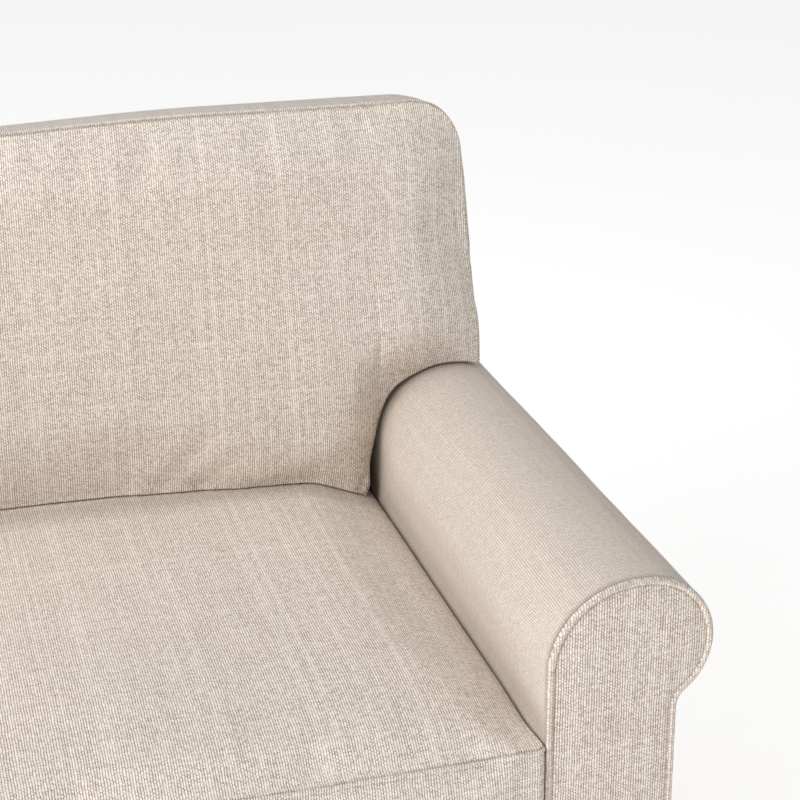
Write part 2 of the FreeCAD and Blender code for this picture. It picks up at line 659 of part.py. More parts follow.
keep_both(cut("OutsideArmPanel", outside_arm, [behind]), "outside_arm_panel")
keep_both(arm_block("ArmFrontPanel", "2 * welt_radius - welt_proud", "leg_height",
                    "arm_front", "front_panel_thickness"), "arm_front_panel")


def arm_front_welt():
    """A covered cord that follows the edge of the arm front from foot to foot."""
    inset = number("welt_radius") - number("welt_proud")
    forward = number("arm_front") - number("welt_forward") + number("welt_radius")
    curves = [curve.toShape() for curve in arm_edges(inset, number("leg_height"))]
    path = Part.Wire(Part.__sortEdges__(curves))
    path.rotate(Vector(), ALONG_X, 90)
    path.translate(Vector(0, forward, 0))
    foot = arm_places(inset, number("leg_height"))["foot"]
    start = Vector(foot.x, forward, foot.y)
    ring = Part.Wire([Part.Circle(start, Vector(0, 0, 1), number("welt_radius")).toShape()])
    item = document.addObject("Part::Feature", "Welt")
    item.Shape = path.makePipeShell([ring], True, False)
    return item


keep_both(arm_front_welt(), "arm_front_welt")

# The back: outside panel, padding, and the cover over its front, top and sides.
slab = side_profile("OutsideSlab", (
    ("out_foot", "leg_height"), ("out_top", "back_height"),
    ("overall_depth / 2", "back_height"),
    ("overall_depth / 2 - (back_height - leg_height) * outside_slope", "leg_height")),
    "-2 * seat_half_width", "4 * seat_half_width")
back_plate = box("BackPlate", "-back_half", "0", "leg_height",
                 "2 * back_half", "overall_depth", "back_height - leg_height")
outside_back = document.addObject("Part::Common", "OutsideBack")
outside_back.Base = slab
outside_back.Tool = combined("Part::MultiFuse", "BackOutline",
                             [arm_mass, arm_mass_left, back_plate])
keep(outside_back, "outside_back_panel")
back_mass = side_profile("BackMass", (
    ("back_foot", "deck_height"),
    ("back_foot + (back_height - deck_height) * lean_slope", "back_height"),
    ("out_top", "back_height"), ("out_deck", "deck_height")),
    "-back_half", "2 * back_half")
back_hollow = side_profile("BackHollow", (
    ("back_foot + cover_thickness * lean_depth - overrun * lean_slope",
     "deck_height - overrun"),
    ("back_foot + cover_thickness * lean_depth + (frame_top - deck_height) * lean_slope",
     "frame_top"),
    ("overall_depth", "frame_top"), ("overall_depth", "deck_height - overrun")),
    "-post_outside", "2 * post_outside")
keep(cut("InsideBackCover", back_mass, [back_hollow, arm_mass, arm_mass_left]),
     "inside_back_cover")
pad_rear = "back_foot + (cover_thickness + back_pad - strap_thickness) * lean_depth"
back_pad_mass = side_profile("BackPadMass", (
    ("back_foot + cover_thickness * lean_depth", "deck_height"),
    ("back_foot + cover_thickness * lean_depth + (frame_top - deck_height) * lean_slope",
     "frame_top"),
    (pad_rear + " + (frame_top - deck_height) * lean_slope", "frame_top"),
    (pad_rear, "deck_height")), "-post_outside", "2 * post_outside")
keep(cut("InsideBackPad", back_pad_mass, [arm_mass, arm_mass_left]), "inside_back_pad")


def bowed(start, middle, end):
    """An arc through three points, or a straight line where they lie in one."""
    if (middle - start).cross(end - start).Length == 0:
        return Part.LineSegment(start, end).toShape()
    return Part.Arc(start, middle, end).toShape()


def cushion_ring(low, high, level, corner, bows):
    """One level of a cushion: four bowed sides and four rounded corners."""
    slack = corner * (1 - math.sqrt(0.5))
    front, right, rear, left = bows
    middle = (low + high) / 2
    stations = (
        (low.x + corner, low.y), (middle.x, low.y - front),
        (high.x - corner, low.y), (high.x - slack, low.y + slack),
        (high.x, low.y + corner), (high.x + right, middle.y),
        (high.x, high.y - corner), (high.x - slack, high.y - slack),
        (high.x - corner, high.y), (middle.x, high.y + rear),
        (low.x + corner, high.y), (low.x + slack, high.y - slack),
        (low.x, high.y - corner), (low.x - left, middle.y),
        (low.x, low.y + corner), (low.x + slack, low.y + slack))
    points = [Vector(x, y, level) for x, y in stations]
    points.append(points[0])
    return Part.Wire([bowed(points[index], points[index + 1], points[index + 2])
                      for index in range(0, len(stations), 2)])


def cushion_mass(low, high, levels, corner, bow):
    """A boxed cushion: a border that swells between its seams and a crown on each face.

    low and high are plan corners at mid border; levels holds the lower seam, the upper
    seam, and (height, reach) of the upper and lower crowns; bow is that of the front.
    """
    lower_seam, upper_seam, upper, lower = levels
    draw = number("seam_draw")

    def ring(level, drawn, reach):
        inward = Vector(drawn + reach, drawn + reach, 0)
        grown = reach * SIDE_GROWTH_SHARE
        shorter = min(high.x - low.x, high.y - low.y) - 2 * (drawn + reach)
        return cushion_ring(low + inward, high - inward, level,
                            min(corner + reach * CORNER_GROWTH_SHARE, shorter * LIMIT_SHARE),
                            (bow + grown, grown - drawn, grown - drawn, grown - drawn))
    border_rings = [ring(lower_seam + share * (upper_seam - lower_seam), drawn * draw, 0)
                    for share, drawn in BORDER_SHARES]
    solid = Part.makeLoft(border_rings, True, False)
    for seam, (height, reach), way in ((upper_seam, upper, 1), (lower_seam, lower, -1)):
        if height <= 0:
            continue
        shorter = min(high.x - low.x, high.y - low.y) - 2 * draw
        reach = min(reach, shorter * LIMIT_SHARE)
        rings = [ring(seam + way * height * (1 - (1 - share) ** CROWN_POWER), draw,
                      reach * share) for share in CROWN_SHARES]
        solid = solid.fuse(Part.makeLoft(rings, True, False))
    return solid.removeSplitter()


def seat_cushion_mass(inset):
    """The right seat cushion, drawn in by an inset on all sides."""
    bow = number("seat_bow")
    low = Vector(number("side_gap") + inset, bow - number("overall_depth") / 2 + inset, 0)
    high = Vector(number("seat_half_width") - number("side_gap") - inset,
                  number("seat_rear") - inset, 0)
    levels = (number("seat_base") + inset, number("seat_seam") - inset,
              (number("seat_crown"), number("seat_crown_reach")), (0, 0))
    return cushion_mass(low, high, levels, number("seat_corner"), bow)


def stood_up(shape):
    """Stand a back cushion that was built lying on its back against the inside back."""
    turned = shape.copy()
    foot = Vector(0, number("cushion_foot_y"), number("cushion_foot_z"))
    turned.Placement = FreeCAD.Placement(
        foot, FreeCAD.Rotation(ALONG_X, 90 - number("back_lean"))).multiply(shape.Placement)
    return turned


def back_cushion_mass(inset):
    """The right back cushion with its ear, drawn in by an inset on all sides."""
    low = Vector(number("side_gap") + inset, inset, 0)
    high = Vector(number("seat_half_width") + number("ear_reach") - inset,
                  number("back_cushion_height") - inset, 0)
    swell = number("back_swell")
    levels = (swell + inset, swell + number("back_border") - inset,
              (number("back_crown"), number("back_crown_reach")),
              (swell, number("back_swell_reach")))
    standing = stood_up(cushion_mass(low, high, levels, number("back_corner"), 0))
    room = number("ear_gap") + inset
    curves = arm_edges(-room, number("leg_height"))
    curves.append(Part.LineSegment(curves[-1].EndPoint, curves[0].StartPoint))
    section = Part.Wire(Part.__sortEdges__([curve.toShape() for curve in curves]))
    section.rotate(Vector(), ALONG_X, 90)
    arm = Part.Face(section).extrude(Vector(0, number("overall_depth"), 0))
    return standing.cut(arm)


def zip_box(place, away, across, size, depth, thickness):
    """A flat strip on a cushion border: across it in X, up its level, and out of its face."""
    x_mid, y_face, level, out = place
    start = y_face + out * depth
    low_y = min(start, start + out * thickness)
    return Part.makeBox(across, thickness, size,
                        Vector(x_mid + away - across / 2, low_y, level - size / 2))


def zip_shapes(place, tab_way):
    """The pocket for a zip in a cushion border, the zip itself, and its slider."""
    sunk = number("tape_thickness") + number("chain_thickness")
    length = number("zip_length")
    pocket = zip_box(place, 0, length, number("tape_width"), -sunk, number("overrun"))
    tape = zip_box(place, 0, length, number("tape_width"), -sunk, number("tape_thickness"))
    chain = zip_box(place, 0, length, number("chain_width"), -number("chain_thickness"),
                    number("chain_thickness"))
    slider_length = number("slider_length")
    away = -length / 2 + slider_length / 2 + number("slider_margin")
    slider = zip_box(place, away, slider_length, number("slider_width"),
                     number("slider_gap"), number("slider_thickness"))
    x_mid, y_face, level, out = place
    tab_place = (x_mid, y_face, level + tab_way * number("tab_length") / 2, out)
    tab = zip_box(tab_place, away, number("tab_width"), number("tab_length"),
                  number("slider_gap"), number("tab_thickness"))
    hole_level = level + tab_way * (number("tab_length") - number("tab_width") / 2)
    hole = Part.makeCylinder(number("tab_hole") / 2, 2 * number("overrun"),
                             Vector(x_mid + away, y_face - number("overrun"), hole_level),
                             Vector(0, 1, 0))
    return pocket, tape.fuse(chain).removeSplitter(), slider.fuse(tab).cut(hole).removeSplitter()


def feature(name, shape):
    """A document object for a shape that is worked out from the sheet above."""
    item = document.addObject("Part::Feature", name)
    item.Shape = shape
    return item


def cushion(kind, mass, place, tab_way, standing, slider_label):
    """Keep the cover, filling, zip and slider of a right cushion and of its left twin."""
    shell = number("shell_thickness")
    pocket, zip_shape, slider = zip_shapes(place, tab_way)
    if standing:
        pocket, zip_shape, slider = (stood_up(shape) for shape in (pocket, zip_shape, slider))
    cover = mass(0).cut(mass(shell)).cut(pocket)
    keep_both(feature(kind + "_cover_shape", cover), kind + "_cushion_cover")
    keep_both(feature(kind + "_filling_shape", mass(shell + number("core_gap"))),
              kind + "_cushion_filling")
    keep_both(feature(kind + "_zip_shape", zip_shape), kind + "_cushion_zip")
    keep_both(feature(kind + "_slider_shape", slider), slider_label)


# The loose cushions, each with a zip and its slider along one border.
zip_middle = number("seat_half_width") / 2
cushion("seat", seat_cushion_mass,
        (zip_middle, number("seat_rear"), number("seat_base") + number("seat_border") / 2, 1),
        -1, False, "seat_zip_slider")
cushion("back", back_cushion_mass,
        (zip_middle, 0, number("back_swell") + number("back_border") / 2, -1),
        -1, True, "back_zip_slider")

document.recompute()
for item in document.Objects:
    if {"Invalid", "Error"} & set(item.State):
        raise RuntimeError(f"{item.Label} failed: {item.State}")
for item in parts:
    if item.Shape.isNull() or not item.Shape.isValid() or not item.Shape.Solids:
        raise RuntimeError(f"{item.Label} has no valid solid")

os.makedirs("parts", exist_ok=True)
for item in parts:
    item.Shape.exportStep(f"parts/{item.Label}.step")
    bounds = item.Shape.BoundBox
    print(f"{item.Label}: {len(item.Shape.Solids)} solids, {item.Shape.Volume / 1e3:.1f} cm3,"
          f" x {bounds.XMin:.1f} {bounds.XMax:.1f} y {bounds.YMin:.1f} {bounds.YMax:.1f}"
          f" z {bounds.ZMin:.1f} {bounds.ZMax:.1f}")
print(len(parts), "sub-parts")
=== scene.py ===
import math

import bmesh
import bpy
import numpy as np
from mathutils import Matrix, Vector, noise
from mathutils.bvhtree import BVHTree
from mathutils.interpolate import poly_3d_calc


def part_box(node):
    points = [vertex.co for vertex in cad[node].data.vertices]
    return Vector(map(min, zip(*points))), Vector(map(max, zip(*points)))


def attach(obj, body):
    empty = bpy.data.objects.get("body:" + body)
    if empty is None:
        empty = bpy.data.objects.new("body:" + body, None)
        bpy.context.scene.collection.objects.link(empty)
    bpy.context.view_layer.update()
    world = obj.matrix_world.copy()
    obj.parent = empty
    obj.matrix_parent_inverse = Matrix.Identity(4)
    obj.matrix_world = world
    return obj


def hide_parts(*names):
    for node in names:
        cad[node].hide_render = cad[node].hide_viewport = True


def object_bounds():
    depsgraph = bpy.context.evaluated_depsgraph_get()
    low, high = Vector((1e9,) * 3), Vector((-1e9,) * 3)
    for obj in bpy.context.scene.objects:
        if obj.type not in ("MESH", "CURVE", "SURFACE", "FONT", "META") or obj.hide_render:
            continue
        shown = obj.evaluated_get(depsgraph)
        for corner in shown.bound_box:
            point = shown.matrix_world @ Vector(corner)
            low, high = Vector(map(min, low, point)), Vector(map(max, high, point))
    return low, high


# A two-seat loveseat in beige linen-look weave: rolled arms with edged fronts, two loose seat
# cushions, and two loose back cushions whose ears lie over the arms. Metres, +Z up, +Y back.
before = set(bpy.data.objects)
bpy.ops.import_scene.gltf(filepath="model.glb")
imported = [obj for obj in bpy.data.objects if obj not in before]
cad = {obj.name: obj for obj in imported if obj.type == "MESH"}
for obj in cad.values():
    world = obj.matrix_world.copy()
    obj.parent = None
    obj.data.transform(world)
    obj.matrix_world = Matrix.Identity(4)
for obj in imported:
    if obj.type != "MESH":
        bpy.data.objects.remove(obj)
cad_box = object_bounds()
scene = bpy.context.scene
scene.view_settings.view_transform = "Standard"
SIDES = (("right", 1), ("left", -1))

# Wooden frame: rails, posts and blocks of sawn pine, screwed and glued, and arm fronts of
# plywood. Padding and cloth hide it, and only the feet of the arm fronts show from below.
PINE, PLYWOOD = ("#dcc094", "#b68f5e"), ("#dbc7a2", "#c3a678")
GRAIN_WIDTH, GRAIN_ALONG_SHARE = 0.006, 0.05
GRAIN_RELIEF = (0.0003, 0.5)


def linear(code):
    """Linear RGBA of an sRGB hex colour."""
    shares = [int(code[start:start + 2], 16) / 255 for start in (1, 3, 5)]
    return [share / 12.92 if share <= 0.04045 else ((share + 0.055) / 1.055) ** 2.4
            for share in shares] + [1.0]


def started(name, **sockets):
    """A material's node tree and shader, with constants on the shader's own sockets."""
    material = bpy.data.materials.new(name)
    material.use_nodes = True
    shader = material.node_tree.nodes["Principled BSDF"]
    for socket, value in sockets.items():
        shader.inputs[socket.replace("_", " ")].default_value = value
    return material, material.node_tree, shader


def add(tree, kind, inputs=None, **settings):
    """Add a shader node with its settings, and with values or links on its inputs."""
    node = tree.nodes.new("ShaderNode" + kind)
    for name, value in settings.items():
        setattr(node, name, value)
    for socket, value in (inputs or {}).items():
        if isinstance(value, bpy.types.NodeSocket):
            tree.links.new(value, node.inputs[socket])
        else:
            node.inputs[socket].default_value = value
    return node


def two_toned(name, kind, pattern, tones, relief=None, squeeze=None, **sockets):
    """A finish in two tones that follow one pattern; relief is its depth and strength."""
    material, tree, shader = started(name, **sockets)
    place = add(tree, "TexCoord").outputs["Object"]
    if squeeze:
        place = add(tree, "Mapping", {"Vector": place, "Scale": squeeze}).outputs[0]
    texture = add(tree, kind, {"Vector": place, **pattern})
    amount = texture.outputs[1 if kind == "TexWave" else 0]
    colour = add(tree, "Mix", {"Factor": amount, 6: linear(tones[0]), 7: linear(tones[1])},
                 data_type="RGBA")
    tree.links.new(colour.outputs[2], shader.inputs["Base Color"])
    if relief:
        bump = add(tree, "Bump", {"Height": amount, "Distance": relief[0],
                                  "Strength": relief[1]})
        tree.links.new(bump.outputs[0], shader.inputs["Normal"])
    return material


def sawn_wood(name, along, tones):
    """Planed softwood: soft streaks along the grain, and a dry matt surface."""
    squeeze = [1 / GRAIN_WIDTH] * 3
    squeeze[along] *= GRAIN_ALONG_SHARE
    return two_toned(name, "TexNoise", {"Scale": 1.0, "Detail": 4.0, "Distortion": 0.8}, tones,
                     GRAIN_RELIEF, squeeze, Roughness=0.72)


def dress(material, *names):
    """Give CAD nodes their finish; a name without its side stands for left and right."""
    for name in names:
        for node in [name] if name in cad else [name + "_left", name + "_right"]:
            cad[node].data.materials.clear()
            cad[node].data.materials.append(material)


dress(sawn_wood("Sawn pine across", 0, PINE),
      "front_rail", "back_rail", "back_tack_rail", "back_top_rail", "corner_blocks")
dress(sawn_wood("Sawn pine front to back", 1, PINE),
      "seat_centre_brace", "side_rail", "arm_rails")
dress(sawn_wood("Sawn pine upright", 2, PINE),
      "back_post", "back_centre_upright")
dress(sawn_wood("Birch plywood", 2, PLYWOOD), "arm_front_board")

# Fixings and springs: zinc-plated leg plates, hanger bolts and clips, oil-tempered sinuous
# springs, and elastic webbing behind the back padding.
BRUSH_WIDTH, GLOSS_SPREAD = 0.0008, 0.08
STRAP_RIB = 0.003
# A wave node's bands lie 2 pi / 20 apart at scale 1, so this puts them two ribs apart.
WAVE_FIT = 6.3


def plated_steel(name, colour, roughness):
    """Plated steel: a metal with a faint unevenness in its gloss."""
    material, tree, shader = started(name, Metallic=1.0, Base_Color=linear(colour))
    place = add(tree, "TexCoord").outputs["Object"]
    spots = add(tree, "TexNoise", {"Vector": place, "Scale": 1 / BRUSH_WIDTH, "Detail": 2.0})
    gloss = add(tree, "MapRange", {"Value": spots.outputs[0], 3: roughness - GLOSS_SPREAD,
                                   4: roughness + GLOSS_SPREAD})
    tree.links.new(gloss.outputs[0], shader.inputs["Roughness"])
    return material


dress(plated_steel("Zinc-plated steel", "#b9bcc0", 0.35),
      "leg_plates", "leg_bolts", "spring_clips")
dress(plated_steel("Tempered spring wire", "#56534f", 0.42), "seat_springs")
# Woven rubber strap: black with fine lengthwise ribs.
dress(two_toned("Elastic webbing", "TexWave",
                {"Scale": 1 / STRAP_RIB / WAVE_FIT, "Distortion": 0.4},
                ("#1d1c1b", "#3a3733"), Roughness=0.85), "back_webbing")

# Legs: turned beech, tapered, with a collar under the frame, stained dark brown and lacquered.
# Each ends in a round plastic glide that is nailed in.
LEG_TURN = 40
FOOT_SHARE, WAIST_SHARE = 0.61, 0.86
TAPER_SHARES = ((0.4, 0.33), (0.78, 0.7))
NECK_DOWN, RING_DOWN = 0.016, 0.012
NECK_OUT, NECK_UP = 0.001, 0.0015
LEG_EDGE, LEG_MERGE = 0.002, 0.00005
FLECKS_PER_METRE = (420, 420, 22)
GLIDE_SPECKS_PER_METRE = 900.0


def placed(name, data):
    """An object in the scene that shows some data."""
    obj = bpy.data.objects.new(name, data)
    scene.collection.objects.link(obj)
    return obj


def piece(name, bm, material, body, closed=True, sharp=None):
    """A smooth-shaded piece on its body, with the edges beyond an angle in degrees sharp."""
    if closed:
        bmesh.ops.recalc_face_normals(bm, faces=bm.faces)
    mesh = bpy.data.meshes.new(name)
    bm.to_mesh(mesh)
    bm.free()
    mesh.materials.append(material)
    mesh.shade_smooth()
    if sharp:
        mesh.set_sharp_from_angle(angle=math.radians(sharp))
    obj = placed(name, mesh)
    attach(obj, body)
    return obj


# Stained beech under satin lacquer: dark, with fine short flecks along the leg.
beech = two_toned("Stained beech", "TexNoise", {"Scale": 1.0, "Detail": 5.0},
                  ("#33231a", "#553a29"), squeeze=FLECKS_PER_METRE, Roughness=0.34,
                  Coat_Weight=0.3, Coat_Roughness=0.2)
for name in ("leg_front_left", "leg_front_right", "leg_rear_left", "leg_rear_right",
             "leg_centre"):
    low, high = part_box(name)
    centre = (low + high) / 2
    collar = (high.x - low.x) / 2
    foot, waist = collar * FOOT_SHARE, collar * WAIST_SHARE
    neck_z, ring_z = high.z - NECK_DOWN, high.z - RING_DOWN
    bm = bmesh.new()
    taper = [(foot + (waist - foot) * out, low.z + (neck_z - low.z) * up)
             for out, up in TAPER_SHARES]
    rim = [(0, low.z), (foot - LEG_EDGE, low.z), (foot, low.z + LEG_EDGE), *taper,
           (waist, neck_z), (waist + NECK_OUT, neck_z + NECK_UP), (collar - NECK_OUT, ring_z),
           (collar, ring_z + LEG_EDGE), (collar, high.z - LEG_EDGE),
           (collar - LEG_EDGE, high.z), (0, high.z)]
    points = [bm.verts.new((centre.x + out, centre.y, level)) for out, level in rim]
    edges = [bm.edges.new(pair) for pair in zip(points, points[1:])]
    bmesh.ops.spin(bm, geom=points + edges, cent=(centre.x, centre.y, 0), axis=(0, 0, 1),
                   angle=math.tau, steps=LEG_TURN, use_merge=True)
    bmesh.ops.remove_doubles(bm, verts=bm.verts, dist=LEG_MERGE)
    leg = piece("turned_" + name, bm, beech, "frame", sharp=50)
    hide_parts(name)

# Moulded nylon: black, with the faint speckle of a matt mould.
dress(two_toned("Black nylon glide", "TexNoise", {"Scale": GLIDE_SPECKS_PER_METRE},
                ("#161616", "#2a2a2a"), Roughness=0.5), "leg_glides")

# Padding: polyurethane foam glued over the arm boards and the back, under the cloth. It is cut
# from block, so its faces show fine open cells.
FOAM_CELLS_PER_METRE = 450.0
dress(two_toned("Cut foam", "TexVoronoi", {"Scale": FOAM_CELLS_PER_METRE},
                ("#e3d9b8", "#f3ecd2"), (0.0008, 0.5), Roughness=0.95,
                Specular_IOR_Level=0.2),
      "arm_padding", "inside_back_pad")

# Upholstery cloth: a linen-look weave of beige polyester. Upright ribs of a thick warp, two
# tones of thread in every crossing, and a few thick slub threads both ways. The real ribs lie
# about 1.3 mm apart, too fine for the picture, so they are drawn at twice that.
WARP_PITCH, WEFT_PITCH = 0.0026, 0.0017
WEFT_TONE_SHIFT = 0.37
YARN_DRIFT, DRIFTS_PER_METRE = 0.0022, 90.0
SLUB_LENGTH, WARP_SLUB_FROM, WEFT_SLUB_FROM = 0.06, 0.86, 0.93
SLUB_GAIN, SLUB_SOFT = 1.6, 0.2
PATCHES_PER_METRE = 9.0
WARP_RISE, WEFT_RISE = 0.7, 0.2
# The last colour is painted shade: the cloth is mixed towards it in seam grooves, at tucks and
# along the lines where cushions lie on other parts.
THREAD_DARK, THREAD_LIGHT, PAINTED_SHADE_COLOUR = "#836857", "#fff6ea", "#6d5b4c"
# The arm pieces take a darker tone of the same cloth: painted shade over the whole arm.
CLOTH_TONE, ARM_SHADED_TONE = 0.68, 0.60
CLOTH_RELIEF = (0.0005, 0.8)


def linen_weave(name, rib, knot, fleck, tone=CLOTH_TONE):
    """Linen-look weave: light ribs, salt-and-pepper crossings, slubs and a soft sheen."""
    material, tree, shader = started(name, Roughness=0.88, Specular_IOR_Level=0.25,
                                     Sheen_Weight=0.22, Sheen_Roughness=0.45)
    metres = add(tree, "UVMap", uv_map="threads").outputs[0]

    def maths(operation, first, second=0.0, third=0.0):
        node = add(tree, "Math", {0: first, 1: second, 2: third}, operation=operation)
        return node.outputs[0]

    drift = add(tree, "TexNoise", {"Vector": metres, "Scale": DRIFTS_PER_METRE, "Detail": 3.0})
    sway = add(tree, "VectorMath", {0: drift.outputs[1], 1: (YARN_DRIFT, YARN_DRIFT, 0)},
               operation="MULTIPLY").outputs[0]
    bent = add(tree, "VectorMath", {0: metres, 1: sway}, operation="ADD").outputs[0]
    count = add(tree, "VectorMath", {0: bent, 1: (1 / WARP_PITCH, 1 / WEFT_PITCH, 0)},
                operation="MULTIPLY").outputs[0]
    whole = add(tree, "VectorMath", {0: count}, operation="FLOOR").outputs[0]
    part = add(tree, "VectorMath", {0: count}, operation="FRACTION").outputs[0]
    index = add(tree, "SeparateXYZ", {0: whole})
    inside = add(tree, "SeparateXYZ", {0: part})
    warp_round = maths("SINE", maths("MULTIPLY", inside.outputs[0], math.pi))
    weft_round = maths("SINE", maths("MULTIPLY", inside.outputs[1], math.pi))
    over = maths("FLOORED_MODULO", maths("ADD", index.outputs[0], index.outputs[1]), 2.0)
    cell = add(tree, "TexWhiteNoise", {"Vector": whole}, noise_dimensions="2D").outputs[0]
    warp_tone = add(tree, "TexWhiteNoise", {"W": index.outputs[0]},
                    noise_dimensions="1D").outputs[0]
    weft_tone = add(tree, "TexWhiteNoise",
                    {"W": maths("ADD", index.outputs[1], WEFT_TONE_SHIFT)},
                    noise_dimensions="1D").outputs[0]
    height = maths("ADD", maths("MULTIPLY", warp_round, WARP_RISE),
                   maths("MULTIPLY", maths("MULTIPLY", weft_round, over), WEFT_RISE))

    def slubs(tone, across, along, rare):
        """Now and then a thick bright thread that fades in and out along its length."""
        cell_place = add(tree, "CombineXYZ", {0: across, 1: maths("DIVIDE", along,
                                                                  SLUB_LENGTH / WEFT_PITCH)})
        fade = add(tree, "TexNoise", {"Vector": cell_place.outputs[0], "Scale": 1.0,
                                      "Detail": 0.0}, noise_dimensions="2D").outputs[0]
        chosen = maths("GREATER_THAN", tone, rare)
        bright = maths("SMOOTH_MIN", maths("MULTIPLY", fade, SLUB_GAIN), 1.0, SLUB_SOFT)
        return maths("MULTIPLY", chosen, bright)

    warp_slub = slubs(warp_tone, index.outputs[0], index.outputs[1], WARP_SLUB_FROM)
    weft_slub = slubs(weft_tone, index.outputs[1], index.outputs[0], WEFT_SLUB_FROM)
    patches = add(tree, "TexNoise", {"Vector": metres, "Scale": PATCHES_PER_METRE,
                                     "Detail": 2.0}).outputs[0]
    for strength, middle, value in (
            (rib, 0.64, warp_round), (knot, 0.5, over), (fleck, 0.5, cell),
            (fleck * 0.20, 0.5, warp_tone), (fleck * 0.18, 0.5, weft_tone),
            (fleck * 0.13, 0.1, warp_slub), (fleck * 0.12, 0.05, weft_slub),
            (0.02, 0.5, patches)):
        tone = maths("MULTIPLY_ADD", value, strength,
                     maths("SUBTRACT", tone, strength * middle))
    colour = add(tree, "Mix", {"Factor": tone, 6: linear(THREAD_DARK),
                               7: linear(THREAD_LIGHT)}, data_type="RGBA").outputs[2]
    # Painted shade: a vertex attribute mixes the cloth towards the shade colour where shade would
    # fall.
    shadow = add(tree, "Attribute", attribute_name="painted_shade").outputs["Fac"]
    shaded = add(tree, "Mix", {"Factor": shadow, 6: colour, 7: linear(PAINTED_SHADE_COLOUR)},
                 data_type="RGBA").outputs[2]
    relief = add(tree, "Bump", {"Height": height, "Distance": CLOTH_RELIEF[0],
                                "Strength": CLOTH_RELIEF[1]})
    tree.links.new(shaded, shader.inputs["Base Color"])
    tree.links.new(relief.outputs[0], shader.inputs["Normal"])
    return material


def lay_threads(bm, lay=None, one_way=False):
    """Lay the weave: ribs upright on upright faces and front to back on level ones.

    With one_way, the weave on both sides counts the same way round as on the front.
    """
    layer = bm.loops.layers.uv.verify()
    for face in bm.faces:
        facing = [abs(part) for part in face.normal]
        side = facing.index(max(facing))
        for loop in face.loops:
            x, y, z = loop.vert.co
            along = y if not one_way else x + y if face.normal.x > 0 else x - y
            loop[layer].uv = lay(loop.vert) if lay else ((along, z), (x, z), (x, y))[side]


def clothed(name, bm, cloth, body, slot="linen_weave", **finish):
    """A piece in cloth, its only UV map named as the cloth's material expects it."""
    obj = piece(name, bm, cloth, body, **finish)
    obj.data.uv_layers[0].name = "threads"
    return obj


weave = linen_weave("Linen-look weave", 0.76, 0.22, 0.40)
# The arm fronts and arm covers take the darker tone, painted shade; pulled tight, the covers also
# show fainter ribs.
front_weave = linen_weave("Linen-look weave on the arm fronts", 0.74, 0.18, 0.38, ARM_SHADED_TONE)
tight_shaded_weave = linen_weave("Linen-look weave pulled tight, with painted shade", 0.34, 0.15, 0.16, ARM_SHADED_TONE)

# Arm covers: one width of the cloth over the inner face, the top and the roll of each arm,
# pulled tight to the back and tucked under the front edging and under the roll.
ARM_LOW, ARM_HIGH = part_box("arm_cover_right")
ARM_FACE, ARM_TOP = ARM_LOW.x, ARM_HIGH.z
INNER_ROUND, ROLL, HOLLOW = 0.090, 0.070, 0.025
TOP_FLAT = 0.008
ARM_OUT = 0.133
COVER_THICK = 0.003
BACK_SLOPE = math.tan(math.radians(5))
BACK_CUT_IN, BACK_CUT_Z = 0.004, 0.850
ROLL_X = ARM_FACE + INNER_ROUND + TOP_FLAT
ROLL_Z = ARM_TOP - ROLL
HOLLOW_X = ARM_FACE + ARM_OUT + HOLLOW
SWING = math.acos((HOLLOW_X - ROLL_X) / (ROLL + HOLLOW))
HOLLOW_Z = ROLL_Z - (ROLL + HOLLOW) * math.sin(SWING)
ARM_CELL, ARM_STEPS, ARM_SPARE = 0.007, 70, 0.02
ARM_WAVE, ARM_WAVE_SIZE, ARM_SEED = 0.0008, 0.11, 3.0
EAR_FRONT_Y, EAR_FRONT_RISE, EAR_OUT_X = 0.163, 0.158, 0.738
CREASE_Z = 0.484
# Painted shade on the arm cloth along the lines where the back cushion's ear and the seat cushion
# lie on it.
CONTACT_SHADE, CONTACT_SHADE_REACH, CONTACT_SHADE_SIDE, CONTACT_SHADE_POWER = 0.32, 0.018, 0.02, 1.5
# The cloth at the front tuck is pressed in and darkened with painted shade.
FRONT_TUCK, TUCK_DEPTH, TUCK_SHADE, TUCK_STEPS = 0.012, 0.0016, 0.7, 6
ARM_BULGE, BULGE_Z, BULGE_HALF = 0.007, 0.548, 0.034
BULGE_FRONT, BULGE_BACK, BULGE_FADING = -0.36, 0.12, 0.05


def extend(bm, geometry, length, steps, run=None, cent=None, angle=0.0):
    """Sweep points or edges on, straight or round an axis along Y, and measure the way."""
    way = bm.verts.layers.float["way"]
    bm.verts.ensure_lookup_table()
    before = len(bm.verts)
    wide = len([item for item in geometry if isinstance(item, bmesh.types.BMVert)])
    result = bmesh.ops.spin(bm, geom=geometry, cent=cent or (0, 0, 0), axis=(0, 1, 0),
                            dvec=Vector(run) / steps if run else (0, 0, 0), angle=angle,
                            steps=steps)
    bm.verts.ensure_lookup_table()
    for number, vert in enumerate(bm.verts[before:]):
        vert[way] += length / steps * (number // wide + 1)
    return result["geom_last"]


